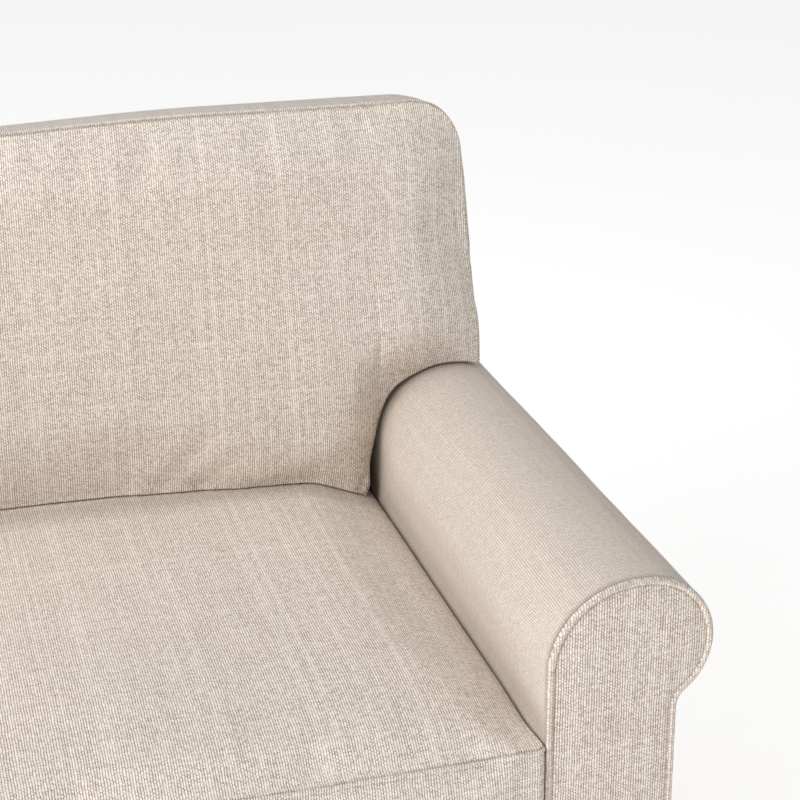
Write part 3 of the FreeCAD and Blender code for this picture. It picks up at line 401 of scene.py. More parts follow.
def arm_way(bm, geometry, inset, foot_z, cell, straight_cell, outer_z=None):
    """Sweep along the arm's section, drawn in by an inset, from its inner to its outer foot."""
    outer_z = foot_z if outer_z is None else outer_z
    shoulder = ARM_TOP - INNER_ROUND
    moves = [((0, 0, shoulder - foot_z), None, 0, 0),
             (None, (ARM_FACE + INNER_ROUND, 0, shoulder), INNER_ROUND - inset, math.pi / 2),
             ((TOP_FLAT, 0, 0), None, 0, 0),
             (None, (ROLL_X, 0, ROLL_Z), ROLL - inset, math.pi / 2 + SWING),
             (None, (HOLLOW_X, 0, HOLLOW_Z), HOLLOW + inset, -SWING)]
    if outer_z < HOLLOW_Z:
        moves.append(((0, 0, outer_z - HOLLOW_Z), None, 0, 0))
    for run, cent, radius, angle in moves:
        length = Vector(run).length if run else radius * abs(angle)
        steps = max(1, round(length / (straight_cell if run else cell)))
        geometry = extend(bm, geometry, length, steps, run, cent, angle)
    return geometry


def uneven(bm, amount, size, seed):
    """Give a padded surface the slight unevenness of hand-laid wadding."""
    shift = Vector((seed, seed * 0.7, seed * 1.3))
    for vert in bm.verts:
        wave = noise.noise(vert.co / size + shift) + 0.5 * noise.noise(vert.co * 2 / size - shift)
        vert.co += vert.normal * (amount * wave)


def mirror_x(bm):
    """Turn a right-hand piece into its left-hand twin."""
    bmesh.ops.scale(bm, vec=(-1, 1, 1), verts=bm.verts)


def painted_contact_shade(place):
    """How much painted shade darkens the cloth along the lines where the cushions' edges lie on
    it.
    """
    from_back = place.y - EAR_FRONT_Y - (place.z - CREASE_Z) * EAR_FRONT_RISE
    from_seat = place.z - CREASE_Z if place.x < ARM_FACE + CONTACT_SHADE_SIDE else CONTACT_SHADE_REACH * 5
    under_ear = min(1.0, max(0.0, (EAR_OUT_X - place.x) / CONTACT_SHADE_REACH))
    return CONTACT_SHADE * max(under_ear * math.exp(-abs(from_back / CONTACT_SHADE_REACH) ** CONTACT_SHADE_POWER),
                          math.exp(-abs(from_seat / CONTACT_SHADE_REACH) ** CONTACT_SHADE_POWER))


for side, way_out in SIDES:
    bm = bmesh.new()
    bm.verts.layers.float.new("way")
    start = bm.verts.new((ARM_FACE, ARM_LOW.y, ARM_LOW.z))
    arm_way(bm, [start], 0, ARM_LOW.z, ARM_CELL, ARM_CELL, HOLLOW_Z)
    length = ARM_HIGH.y - ARM_LOW.y + ARM_SPARE
    section = bm.verts[:] + bm.edges[:]
    near = bmesh.ops.spin(bm, geom=section, axis=(0, 1, 0), steps=TUCK_STEPS,
                          dvec=(0, FRONT_TUCK / TUCK_STEPS, 0))
    bmesh.ops.spin(bm, geom=near["geom_last"], axis=(0, 1, 0), steps=ARM_STEPS,
                   dvec=(0, (length - FRONT_TUCK) / ARM_STEPS, 0))
    bmesh.ops.bisect_plane(
        bm, geom=bm.verts[:] + bm.edges[:] + bm.faces[:], clear_outer=True,
        plane_co=(0, cad_box[1][1] - BACK_CUT_IN, BACK_CUT_Z), plane_no=(0, 1, -BACK_SLOPE))
    bmesh.ops.recalc_face_normals(bm, faces=bm.faces)
    bm.normal_update()
    if sum(face.normal.z for face in bm.faces) < 0:
        bmesh.ops.reverse_faces(bm, faces=bm.faces)
    bm.normal_update()
    uneven(bm, ARM_WAVE, ARM_WAVE_SIZE, ARM_SEED + way_out)
    way = bm.verts.layers.float["way"]
    painted_shade = bm.verts.layers.float.new("painted_shade")
    for vert in bm.verts:
        near_front = max(0.0, 1 - (vert.co.y - ARM_LOW.y) / FRONT_TUCK)
        vert.co -= vert.normal * (TUCK_DEPTH * near_front ** 2)
        if vert.co.x < ARM_FACE + INNER_ROUND:
            ends = min(vert.co.y - BULGE_FRONT, BULGE_BACK - vert.co.y) / BULGE_FADING
            rise = math.exp(-((vert.co.z - BULGE_Z) / BULGE_HALF) ** 2)
            vert.co.x -= ARM_BULGE * rise * min(max(ends + 0.5, 0.0), 1.0)
        # Painted shade where the cloth tucks under the front edging, and along the lines where
        # the cushions lie on it.
        vert[painted_shade] = max(TUCK_SHADE * near_front ** 3, painted_contact_shade(vert.co))
    lay_threads(bm, lambda vert: (vert[way], vert.co.y))
    if way_out < 0:
        mirror_x(bm)
        bmesh.ops.reverse_faces(bm, faces=bm.faces)
    cloth = clothed("arm_cloth_" + side, bm, tight_shaded_weave, "frame", closed=False)
    thick = cloth.modifiers.new("Cloth and wadding", "SOLIDIFY")
    thick.thickness, thick.offset = COVER_THICK, -1
    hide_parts("arm_cover_" + side)

# Arm fronts: a board with wadding and cloth, slightly domed, and the soft edging round it.
# The edging is the cloth itself, turned over a cord, so its ribs stay upright like the front's.
PANEL_LOW, PANEL_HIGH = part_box("arm_front_panel_right")
WELT_LOW, WELT_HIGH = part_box("arm_front_welt_right")
WELT_RADIUS, WELT_OUT = 0.0036, 0.0004
WELT_INSET = WELT_RADIUS - WELT_OUT
WELT_ROUND, WELT_CELL = 16, 0.006
WELT_WAVE, WELT_WAVE_SIZE, WELT_SEED = 0.0003, 0.02, 9.0
PANEL_UNDER, PANEL_SET_BACK = 0.0016, 0.0025
ROUND_CELL, STRAIGHT_RUN = 0.005, 0.5
# The edging takes the arms' darker tone, painted shade.
edging_weave = linen_weave("Linen-look weave over cord", 0.45, 0.18, 0.30, ARM_SHADED_TONE)
DOME = ((0.0015, 0.0012), (0.0025, 0.0010), (0.005, 0.0009), (0.009, 0.0006), (0.010, 0.0002))
PANEL_CREASE, PANEL_EDGE_SHADE = 0.002, 0.9
for side, way_out in SIDES:
    bm = bmesh.new()
    bm.verts.layers.float.new("way")
    inset = 2 * WELT_INSET - PANEL_UNDER
    front = PANEL_LOW.y + PANEL_SET_BACK
    first = bm.verts.new((ARM_FACE + inset, front, PANEL_LOW.z))
    arm_way(bm, [first], inset, PANEL_LOW.z, ROUND_CELL, STRAIGHT_RUN)
    bm.verts.ensure_lookup_table()
    bm.edges.new((bm.verts[0], bm.verts[-1]))
    face = bmesh.ops.contextual_create(bm, geom=bm.edges[:])["faces"]
    wall = bmesh.ops.extrude_face_region(bm, geom=face, use_keep_orig=True)["geom"]
    bmesh.ops.translate(bm, vec=(0, PANEL_HIGH.y - front, 0),
                        verts=[item for item in wall if isinstance(item, bmesh.types.BMVert)])
    bmesh.ops.recalc_face_normals(bm, faces=bm.faces)
    face = [item for item in bm.faces if item.normal.y < -0.99]
    for across, up in DOME:
        bmesh.ops.inset_region(bm, faces=face, thickness=across, use_even_offset=True)
        bmesh.ops.translate(bm, vec=(0, -up, 0), verts=face[0].verts[:])
    # Painted shade round the panel's edge, in the groove under the edging.
    painted_shade = bm.verts.layers.float.new("painted_shade")
    for vert in bm.verts:
        vert[painted_shade] = PANEL_EDGE_SHADE * max(0.0, 1 - (front - vert.co.y) / PANEL_CREASE)
    lay_threads(bm, lambda vert: (vert.co.x, vert.co.z))
    if way_out < 0:
        mirror_x(bm)
    panel = clothed("arm_front_cloth_" + side, bm, front_weave, "frame", sharp=45)
    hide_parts("arm_front_panel_" + side)

    bm = bmesh.new()
    bm.verts.layers.float.new("way")
    ring_place = (ARM_FACE + WELT_INSET, WELT_HIGH.y - WELT_RADIUS, WELT_LOW.z)
    bmesh.ops.create_circle(bm, segments=WELT_ROUND, radius=WELT_RADIUS, cap_ends=False,
                            matrix=Matrix.Translation(ring_place))
    arm_way(bm, bm.verts[:] + bm.edges[:], WELT_INSET, WELT_LOW.z, ROUND_CELL, WELT_CELL)
    bmesh.ops.holes_fill(bm, edges=[edge for edge in bm.edges if edge.is_boundary],
                         sides=WELT_ROUND)
    bm.normal_update()
    uneven(bm, WELT_WAVE, WELT_WAVE_SIZE, WELT_SEED + way_out)
    lay_threads(bm, lambda vert: (vert.co.x, vert.co.z))
    if way_out < 0:
        mirror_x(bm)
    welt = clothed("arm_front_edging_" + side, bm, edging_weave, "frame")
    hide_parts("arm_front_welt_" + side)

# Outside cloth: the outside arms, the outside back, the back over its frame and the border
# under the seat cushions are cloth on thin board, with softly rounded edges.
BOARD_EDGE, BOARD_CELL, BOARD_WAVE_SIZE, BOARD_SEED = 0.0035, 0.05, 0.16, 5.0
MERGE_GAP = 0.00002


def merged_copy(node):
    """A copy of a CAD solid, its loose triangles merged into plain faces."""
    bm = bmesh.new()
    bm.from_mesh(cad[node].data)
    bmesh.ops.remove_doubles(bm, verts=bm.verts, dist=MERGE_GAP)
    bmesh.ops.dissolve_limit(bm, angle_limit=math.radians(1), verts=bm.verts, edges=bm.edges)
    return bm


def sliced(bm, low, high, counts):
    """Cut a mesh into even cells between two corners of its box."""
    for axis, cells in enumerate(counts):
        normal = Vector((axis == 0, axis == 1, axis == 2))
        for number in range(1, cells):
            bmesh.ops.bisect_plane(bm, geom=bm.verts[:] + bm.edges[:] + bm.faces[:],
                                   plane_co=low + (high - low) * number / cells,
                                   plane_no=normal)


def upholstered(name, node, edge, amount):
    """A copy of a CAD solid as cloth over board: edges rounded, faces a little uneven."""
    bm = merged_copy(node)
    sharp = [item for item in bm.edges
             if item.is_manifold and item.calc_face_angle() > math.radians(40)]
    bmesh.ops.bevel(bm, geom=sharp, offset=edge, segments=3, profile=0.5, affect="EDGES",
                    material=-1, clamp_overlap=True)
    low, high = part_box(node)
    sliced(bm, low, high, [int(length / BOARD_CELL) for length in high - low])
    bm.normal_update()
    uneven(bm, amount, BOARD_WAVE_SIZE, BOARD_SEED)
    bm.normal_update()
    lay_threads(bm)
    cloth = clothed(name, bm, weave, "frame", sharp=50)
    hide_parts(node)


for side, _ in SIDES:
    upholstered("outside_arm_cloth_" + side, "outside_arm_panel_" + side, BOARD_EDGE, 0.0006)
upholstered("outside_back_cloth", "outside_back_panel", 0.0015, 0.0005)
upholstered("inside_back_cloth", "inside_back_cover", 0.001, 0.0003)
upholstered("front_border_cloth", "front_border", 0.004, 0.0006)

# Seat deck: plain cotton platform cloth over a thin pad on the springs. It is only seen when
# a seat cushion is pulled out.
DECK_LOW, DECK_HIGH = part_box("seat_deck")
DECK_EDGE = 0.004
COTTON_PITCH, COTTON_RELIEF = 0.0012, (0.0003, 0.4)


def platform_cloth():
    """Plain cotton duck: a flat natural colour with a fine even weave."""
    material, tree, shader = started("Cotton platform cloth", Roughness=0.92,
                                     Specular_IOR_Level=0.2)
    metres = add(tree, "UVMap", uv_map="threads").outputs[0]
    checks = add(tree, "TexChecker", {"Vector": metres, "Scale": 1 / COTTON_PITCH,
                                      "Color1": linear("#d3c8b4"), "Color2": linear("#bfb39c")})
    relief = add(tree, "Bump", {"Height": checks.outputs[1], "Distance": COTTON_RELIEF[0],
                                "Strength": COTTON_RELIEF[1]})
    tree.links.new(checks.outputs[0], shader.inputs["Base Color"])
    tree.links.new(relief.outputs[0], shader.inputs["Normal"])
    return material


bm = bmesh.new()
bmesh.ops.create_cube(bm, size=1, matrix=Matrix.LocRotScale(
    (DECK_LOW + DECK_HIGH) / 2, None, DECK_HIGH - DECK_LOW))
bmesh.ops.bevel(bm, geom=bm.edges[:], offset=DECK_EDGE, segments=3, profile=0.5,
                affect="EDGES", material=-1)
lay_threads(bm)
deck = clothed("seat_deck_cloth", bm, platform_cloth(), "frame", "platform_cloth", sharp=40)
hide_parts("seat_deck")

# Seat cushions: foam in a boxed cover of the weave. The top meets the border in a seam that is
# stitched down on the border side, so a narrow ridge runs beside the seam line.
SEAM_LINES = (0.0012, 0.0024, 0.0038, 0.0055, 0.0075, 0.0095, 0.0125, 0.018, 0.026)
SEAM_GROOVE, GROOVE_HALF = 0.0019, 0.0013
RIDGE_UP, RIDGE_MIDDLE, RIDGE_HALF = 0.0010, 0.0040, 0.0020
ROLL_UP, ROLL_MIDDLE, ROLL_HALF = 0.0005, -0.0032, 0.0018
STITCH_DOWN, STITCH_AT, STITCH_HALF = 0.0006, 0.0078, 0.0010
# Painted shade in the seam groove and along the stitched line, stronger where the seam puckers.
SEAM_SHADE, STITCH_SHADE, PUCKER_SHADE_MOST = 0.5, 0.15, 1.1
PUCKER_SIZE, PUCKER_SHARE = 0.014, 0.6
LUMP_UP, LUMP_SIZE, SMALL_LUMP_SIZE, SMALL_LUMP_SHARE = 0.0022, 0.13, 0.05, 0.4
AIR_PRESSURE, AIR_FRAMES, AIR_SHRINK, AIR_STIFFNESS = 4, 20, -0.012, 0.8
CLOTH_CELL = 0.012
TINY, TINY_SQUARE = 1e-9, 1e-12
SEAT_LOW, SEAT_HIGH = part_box("seat_cushion_cover_right")
SEAT_SIDE = 0.138
SEAT_SEAM = SEAT_LOW.z + SEAT_SIDE
SEAT_BOW, SEAT_FORWARD, SEAT_FALL, FALL_REACH = 0.009, 0.004, 0.008, 0.15
SEAT_REACH_SIDE, SEAT_REACH_END = 0.15, 0.21
SEAT_DRAW, DRAW_POWER = 0.004, 2.5
SEAT_CORNER, BORDER_CORNER = 0.007, 0.003
SEAT_SWELL, SEAT_HOLD, SEAT_LUMPS_FROM, SEAT_SEED = 0.008, 0.05, 0.06, 2.0
SIDE_FALL, SIDE_FALL_REACH = 0.012, 0.014
# Painted shadow on the seat's top along the foot of the back cushion.
FOOT_SHADOW, FOOT_LINE_Y, FOOT_SHADE_HALF = 0.26, 0.165, 0.028
SIDE_SPARE, REAR_SPARE = 0.0006, 0.001


def grid_lines(low, high):
    """Cell borders across a panel, close together beside its seams."""
    near = [low] + [low + step for step in SEAM_LINES]
    far = [high - step for step in reversed(SEAM_LINES)] + [high]
    cells = max(1, round((far[0] - near[-1]) / CLOTH_CELL))
    middle = [near[-1] + (far[0] - near[-1]) * number / cells for number in range(1, cells)]
    return near + middle + far


def boxed(across, along, levels, dropped=None):
    """A box of cells that keeps the places of its lines, with a layer inside at each level."""
    bm = bmesh.new()
    bmesh.ops.create_grid(bm, x_segments=len(across) - 1, y_segments=len(along) - 1, size=1)
    for vert in bm.verts:
        column = round((vert.co.x + 1) / 2 * (len(across) - 1))
        row = round((vert.co.y + 1) / 2 * (len(along) - 1))
        vert.co = (across[column], along[row], levels[0])
    if dropped:
        gone = [face for face in bm.faces if dropped(face.calc_center_median())]
        bmesh.ops.delete(bm, geom=gone, context="FACES")
    faces = bm.faces[:]
    for number, level in enumerate(levels[1:]):
        grown = bmesh.ops.extrude_face_region(bm, geom=faces, use_keep_orig=number == 0)["geom"]
        for item in grown:
            if isinstance(item, bmesh.types.BMVert):
                item.co.z = level
        faces = [item for item in grown if isinstance(item, bmesh.types.BMFace)]
    bmesh.ops.recalc_face_normals(bm, faces=bm.faces)
    bm.verts.index_update()
    return bm


def places_of(bm):
    """Vertex places as an array."""
    return np.array([vert.co for vert in bm.verts])


def put(bm, places):
    """Move the vertices to new places."""
    for vert, place in zip(bm.verts, places):
        vert.co = place
    bm.normal_update()


def eased(value):
    """A soft step from 0 to 1."""
    share = np.clip(value, 0, 1)
    return share * share * (3 - 2 * share)


def rounded(plan, corner, inward, radius):
    """Round one square corner of a plan; the radius may differ from vertex to vertex."""
    centre = np.array(corner) + np.array(inward) * radius[:, None]
    away = (plan - centre) * -np.array(inward)
    inside = (away > 0).all(axis=1)
    reach = np.linalg.norm(away, axis=1)
    shrink = np.where(inside, away.max(axis=1) / np.maximum(reach, TINY), 1.0)
    turned = centre - away * shrink[:, None] * np.array(inward)
    return np.where(inside[:, None], turned, plan)


def seam_distance(bm, plan, on_panel, stretch=None):
    """Distance in plan from each vertex to the seam round a panel, or to a stretch of it."""
    edges = [[vert.index for vert in edge.verts] for edge in bm.edges
             if all(on_panel[vert.index] for vert in edge.verts)
             and any(not all(on_panel[vert.index] for vert in face.verts)
                     for face in edge.link_faces)]
    if stretch is not None:
        edges = [pair for pair in edges if stretch[pair].all()]
    least = np.full(len(plan), np.inf)
    for start, end in plan[edges]:
        run = end - start
        share = np.clip((plan - start) @ run / max(run @ run, TINY_SQUARE), 0, 1)
        least = np.minimum(least, np.linalg.norm(plan - start - share[:, None] * run, axis=1))
    return least


def crowned(height, *sides):
    """Height of a crown; each side is a distance from its seam and how far its fall reaches."""
    rise = height
    for distance, reach in sides:
        rise = rise * (1 - (1 - np.clip(distance / reach, 0, 1)) ** DRAW_POWER)
    return rise


def hump(signed, middle, half):
    """A smooth bump of height 1 across a seam."""
    return np.exp(-((signed - middle) / half) ** 2)


def seam_relief(bm, signed, shade=0.0):
    """Press the seam line in and raise the ridge beside it; signed is positive on the border."""
    pucker = np.array([1 + PUCKER_SHARE * noise.noise(vert.co / PUCKER_SIZE)
                       for vert in bm.verts])
    push = (RIDGE_UP * hump(signed, RIDGE_MIDDLE, RIDGE_HALF) * pucker
            + ROLL_UP * hump(signed, ROLL_MIDDLE, ROLL_HALF) * pucker
            - SEAM_GROOVE * hump(signed, 0, GROOVE_HALF) * pucker
            - STITCH_DOWN * hump(signed, STITCH_AT, STITCH_HALF))
    normals = np.array([vert.normal for vert in bm.verts])
    # Painted shade in the seam's groove and along the stitched line, or the shade passed in where
    # that is darker.
    layer = bm.verts.layers.float.new("painted_shade")
    dark = SEAM_SHADE * hump(signed, 0, GROOVE_HALF) * np.minimum(pucker, PUCKER_SHADE_MOST)
    dark += STITCH_SHADE * hump(signed, STITCH_AT, STITCH_HALF)
    for vert, share in zip(bm.verts, np.maximum(dark, shade)):
        vert[layer] = share
    put(bm, places_of(bm) + normals * push[:, None])


def aired(bm, hold, cap):
    """Fill a cushion with air: a cloth simulation on a remeshed copy, read back as a shift."""
    copy = bpy.data.meshes.new("aired")
    bm.to_mesh(copy)
    obj = placed("aired", copy)
    remesh = obj.modifiers.new("Remesh", "REMESH")
    remesh.mode, remesh.voxel_size = "VOXEL", CLOTH_CELL
    graph = bpy.context.evaluated_depsgraph_get()
    base = bpy.data.meshes.new_from_object(obj.evaluated_get(graph))
    obj.modifiers.clear()
    obj.data = base
    before = np.array([vert.co for vert in base.vertices])
    group = obj.vertex_groups.new(name="held")
    for number, share in enumerate(hold(before)):
        group.add([number], float(share), "REPLACE")
    cloth = obj.modifiers.new("Cloth", "CLOTH")
    cloth.settings.use_pressure = True
    cloth.settings.uniform_pressure_force = AIR_PRESSURE
    cloth.settings.effector_weights.gravity = 0
    cloth.settings.vertex_group_mass = "held"
    cloth.settings.shrink_min = AIR_SHRINK
    cloth.settings.bending_stiffness = AIR_STIFFNESS
    for number in range(1, AIR_FRAMES + 1):
        scene.frame_set(number)
    graph = bpy.context.evaluated_depsgraph_get()
    swollen = obj.evaluated_get(graph).to_mesh()
    shift = np.array([vert.co for vert in swollen.vertices]) - before
    scene.frame_set(1)
    size = np.linalg.norm(shift, axis=1)
    shift *= np.minimum(1, cap / np.maximum(size, TINY))[:, None]
    faces = [tuple(face.vertices) for face in base.polygons]
    tree = BVHTree.FromPolygons([Vector(place) for place in before], faces)
    result = []
    for vert in bm.verts:
        place, _, index, _ = tree.find_nearest(vert.co)
        corners = faces[index]
        weights = poly_3d_calc([Vector(before[corner]) for corner in corners], place)
        result.append(sum(weight * shift[corner] for weight, corner in zip(weights, corners)))
    bpy.data.objects.remove(obj)
    return np.array(result)


def hand_filled(bm, depth, seed):
    """Give a filled cushion its slight lumps, none at the seams."""
    shift = Vector((seed, -seed, 0.5 * seed))
    for vert, share in zip(bm.verts, depth):
        lump = (noise.noise(vert.co / LUMP_SIZE + shift)
                + SMALL_LUMP_SHARE * noise.noise(vert.co / SMALL_LUMP_SIZE - shift))
        vert.co += vert.normal * (LUMP_UP * share * lump)
    bm.normal_update()


def seat_shape(seed):
    """The right seat cushion as a bmesh, with its weave laid and its seams pressed in."""
    low = np.array((SEAT_LOW.x, SEAT_LOW.y + SEAT_BOW - SEAT_FORWARD))
    high = np.array((SEAT_HIGH.x, SEAT_HIGH.y))
    bm = boxed(grid_lines(low[0], high[0]), grid_lines(low[1], high[1]),
               grid_lines(SEAT_LOW.z, SEAT_SEAM))
    rest = places_of(bm)
    lay_threads(bm, one_way=True)
    share = (rest[:, 2] - SEAT_LOW.z) / (SEAT_SEAM - SEAT_LOW.z)
    radius = SEAT_CORNER + BORDER_CORNER * np.sin(np.pi * share)
    plan = rest[:, :2]
    for corner_x, right in ((low[0], 1), (high[0], -1)):
        for corner_y, back in ((low[1], 1), (high[1], -1)):
            plan = rounded(plan, (corner_x, corner_y), (right, back), radius)
    offset = (plan - (low + high) / 2) / ((high - low) / 2)
    plan[:, 1] -= offset[:, 1] * SEAT_DRAW * np.abs(2 * share - 1) ** DRAW_POWER
    plan[:, 1] -= SEAT_BOW * (1 - offset[:, 0] ** 2) * np.clip(-offset[:, 1], 0, 1)
    on_top = np.isclose(share, 1)
    distance = seam_distance(bm, plan, on_top)
    ahead = np.clip((plan[:, 1] - low[1]) / FALL_REACH, 0, 1)
    level = rest[:, 2] - SEAT_FALL * share * (1 - ahead) ** 2
    inside = np.minimum(plan[:, 0] - low[0], high[0] - plan[:, 0])
    level -= SIDE_FALL * share * np.exp(-inside / SIDE_FALL_REACH) * eased(ahead * 2)
    crown = crowned(SEAT_HIGH.z - SEAT_SEAM, (plan[:, 0] - low[0], SEAT_REACH_SIDE),
                    (high[0] - plan[:, 0], SEAT_REACH_SIDE),
                    (plan[:, 1] - low[1], SEAT_REACH_END), (high[1] - plan[:, 1], SEAT_REACH_END))
    put(bm, np.column_stack((plan, level + np.where(on_top, crown, 0))))
    def hold(place):
        side = np.minimum(place[:, 0] - low[0], high[0] - place[:, 0]) / SEAT_HOLD
        foot = (place[:, 2] - SEAT_LOW.z) / SEAT_HOLD
        return 1 - np.clip(side, 0, 1) * np.clip(foot, 0, 1)
    put(bm, places_of(bm) + aired(bm, hold, SEAT_SWELL))
    hand_filled(bm, np.where(on_top, np.minimum(1, distance / SEAT_LUMPS_FROM), 0), seed)
    # Painted shadow across the seat's top along the line where the back cushion's foot stands on
    # it.
    shade = FOOT_SHADOW * hump(plan[:, 1], FOOT_LINE_Y, FOOT_SHADE_HALF)
    seam_relief(bm, np.where(on_top, -distance, np.where(share > 0, SEAT_SEAM - rest[:, 2], 1)),
                shade)
    for vert in bm.verts:
        vert.co.x = min(max(vert.co.x, SEAT_LOW.x - SIDE_SPARE), SEAT_HIGH.x)
        vert.co.y = min(vert.co.y, SEAT_HIGH.y + REAR_SPARE)
        vert.co.z = max(vert.co.z, SEAT_LOW.z)
    return bm


def cushion_piece(kind, side, bm, way_out):
    """Finish a seat or back cushion of either side, which stands for its cover and filling."""
    if way_out < 0:
        mirror_x(bm)
    cushion = clothed(f"{kind}_cushion_{side}", bm, weave, f"{side}_{kind}_cushion")
    smooth = cushion.modifiers.new("Smooth", "SUBSURF")
    smooth.levels = smooth.render_levels = 1
    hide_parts(f"{kind}_cushion_cover_{side}", f"{kind}_cushion_filling_{side}")


seat_tops = {}
for side, way_out in SIDES:
    bm = seat_shape(SEAT_SEED + way_out)
    seat_tops[side] = BVHTree.FromBMesh(bm)
    cushion_piece("seat", side, bm, way_out)

# Back cushions: fibre in a boxed cover, leaning on the inside back. The lower outer corner is
# cut away to fit the arm, and the ear beside it lies on the arm's top.
LEAN = math.radians(9)
BACK_FOOT_Y, BACK_FOOT_Z = 0.32176, 0.47935
BACK_HIGH = 0.446
EAR_END = 0.730
REAR_SEAM, FRONT_SEAM = 0.010, 0.128
BACK_CROWN, REAR_CROWN = 0.024, 0.009
BACK_REACH, REAR_REACH = 0.12, 0.07
FOOT_REACH_SHARE, NOTCH_REACH_SHARE = 0.7, 0.6
BACK_DRAW = 0.004
EAR_GAP, EAR_OVER = 0.001, 0.001
BACK_WALL = ARM_FACE - EAR_GAP
NOTCH_V, LAST_LOW_ROW = 0.046, 0.036
TOP_CORNER, TOP_CORNER_MORE = 0.054, 0.006
FOOT_CORNER, FOOT_CORNER_MORE = 0.010, 0.008
SIDE_SWELL, SIDE_MIDDLE, SIDE_HALF = 0.0105, 0.22, 0.20
TOP_RISE, RISE_START, RISE_LENGTH = 0.0105, 0.08, 0.35
BULGE, BULGE_START, BULGE_LENGTH = 0.030, 0.20, 0.40
BULGE_LOW, BULGE_FADE, BULGE_KEPT = 0.10, 0.22, 0.2
SAG_MOST, SAG_LEAST, SAG_CLEAR, SAG_ABOVE, SAG_POWER = 0.024, -0.01, 0.0015, 0.05, 1.5
EAR_LIFT, EAR_LIFT_X, EAR_LIFT_HALF = 0.009, 0.618, 0.022
LIFT_START, LIFT_LENGTH = 0.06, 0.07
WALL_DRAW, WALL_REACH, DRAW_TOP = 0.014, 0.05, 0.062
BACK_SWELL, BACK_HOLD, BACK_LUMPS_FROM, BACK_SEED = 0.008, 0.012, 0.05, 4.0
NEAR = 1e-6


def ear_floor(across, thick):
    """Height along the cushion of the arm's surface under the ear."""
    shoulder = ARM_TOP - INNER_ROUND
    inner, roll = INNER_ROUND + EAR_GAP, ROLL + EAR_GAP
    on_round = shoulder + np.sqrt(np.maximum(
        inner ** 2 - (ARM_FACE + INNER_ROUND - across) ** 2, 0))
    on_roll = ROLL_Z + np.sqrt(np.maximum(roll ** 2 - (across - ROLL_X) ** 2, 0))
    top = np.where(across < ARM_FACE + INNER_ROUND, on_round,
                   np.where(across < ROLL_X, ARM_TOP + EAR_GAP, on_roll))
    return (top - BACK_FOOT_Z - thick * math.sin(LEAN)) / math.cos(LEAN)


def stood(places):
    """Stand a cushion that lies on its back up against the inside back."""
    across, up, thick = places.T
    return np.column_stack((
        across, BACK_FOOT_Y + up * math.sin(LEAN) - thick * math.cos(LEAN),
        BACK_FOOT_Z + up * math.cos(LEAN) + thick * math.sin(LEAN)))


def sagged(bm, rest, seat_top):
    """Let the foot down to the seat cushion below it; a point with none below it stays."""
    drops = {}
    for vert, (across, up, thick) in zip(bm.verts, rest):
        if up == 0:
            above = vert.co + Vector((0, 0, SAG_ABOVE))
            hit = seat_top.ray_cast(above, Vector((0, 0, -1)))[0]
            gap = vert.co.z - hit.z - SAG_CLEAR if hit else 0
            drops[round(across, 5), round(thick, 5)] = min(max(gap, SAG_LEAST), SAG_MOST)
    for vert, (across, up, thick) in zip(bm.verts, rest):
        if up < NOTCH_V:
            drop = drops.get((round(across, 5), round(thick, 5)), 0)
            vert.co.z -= drop * (1 - up / NOTCH_V) ** SAG_POWER
    bm.normal_update()


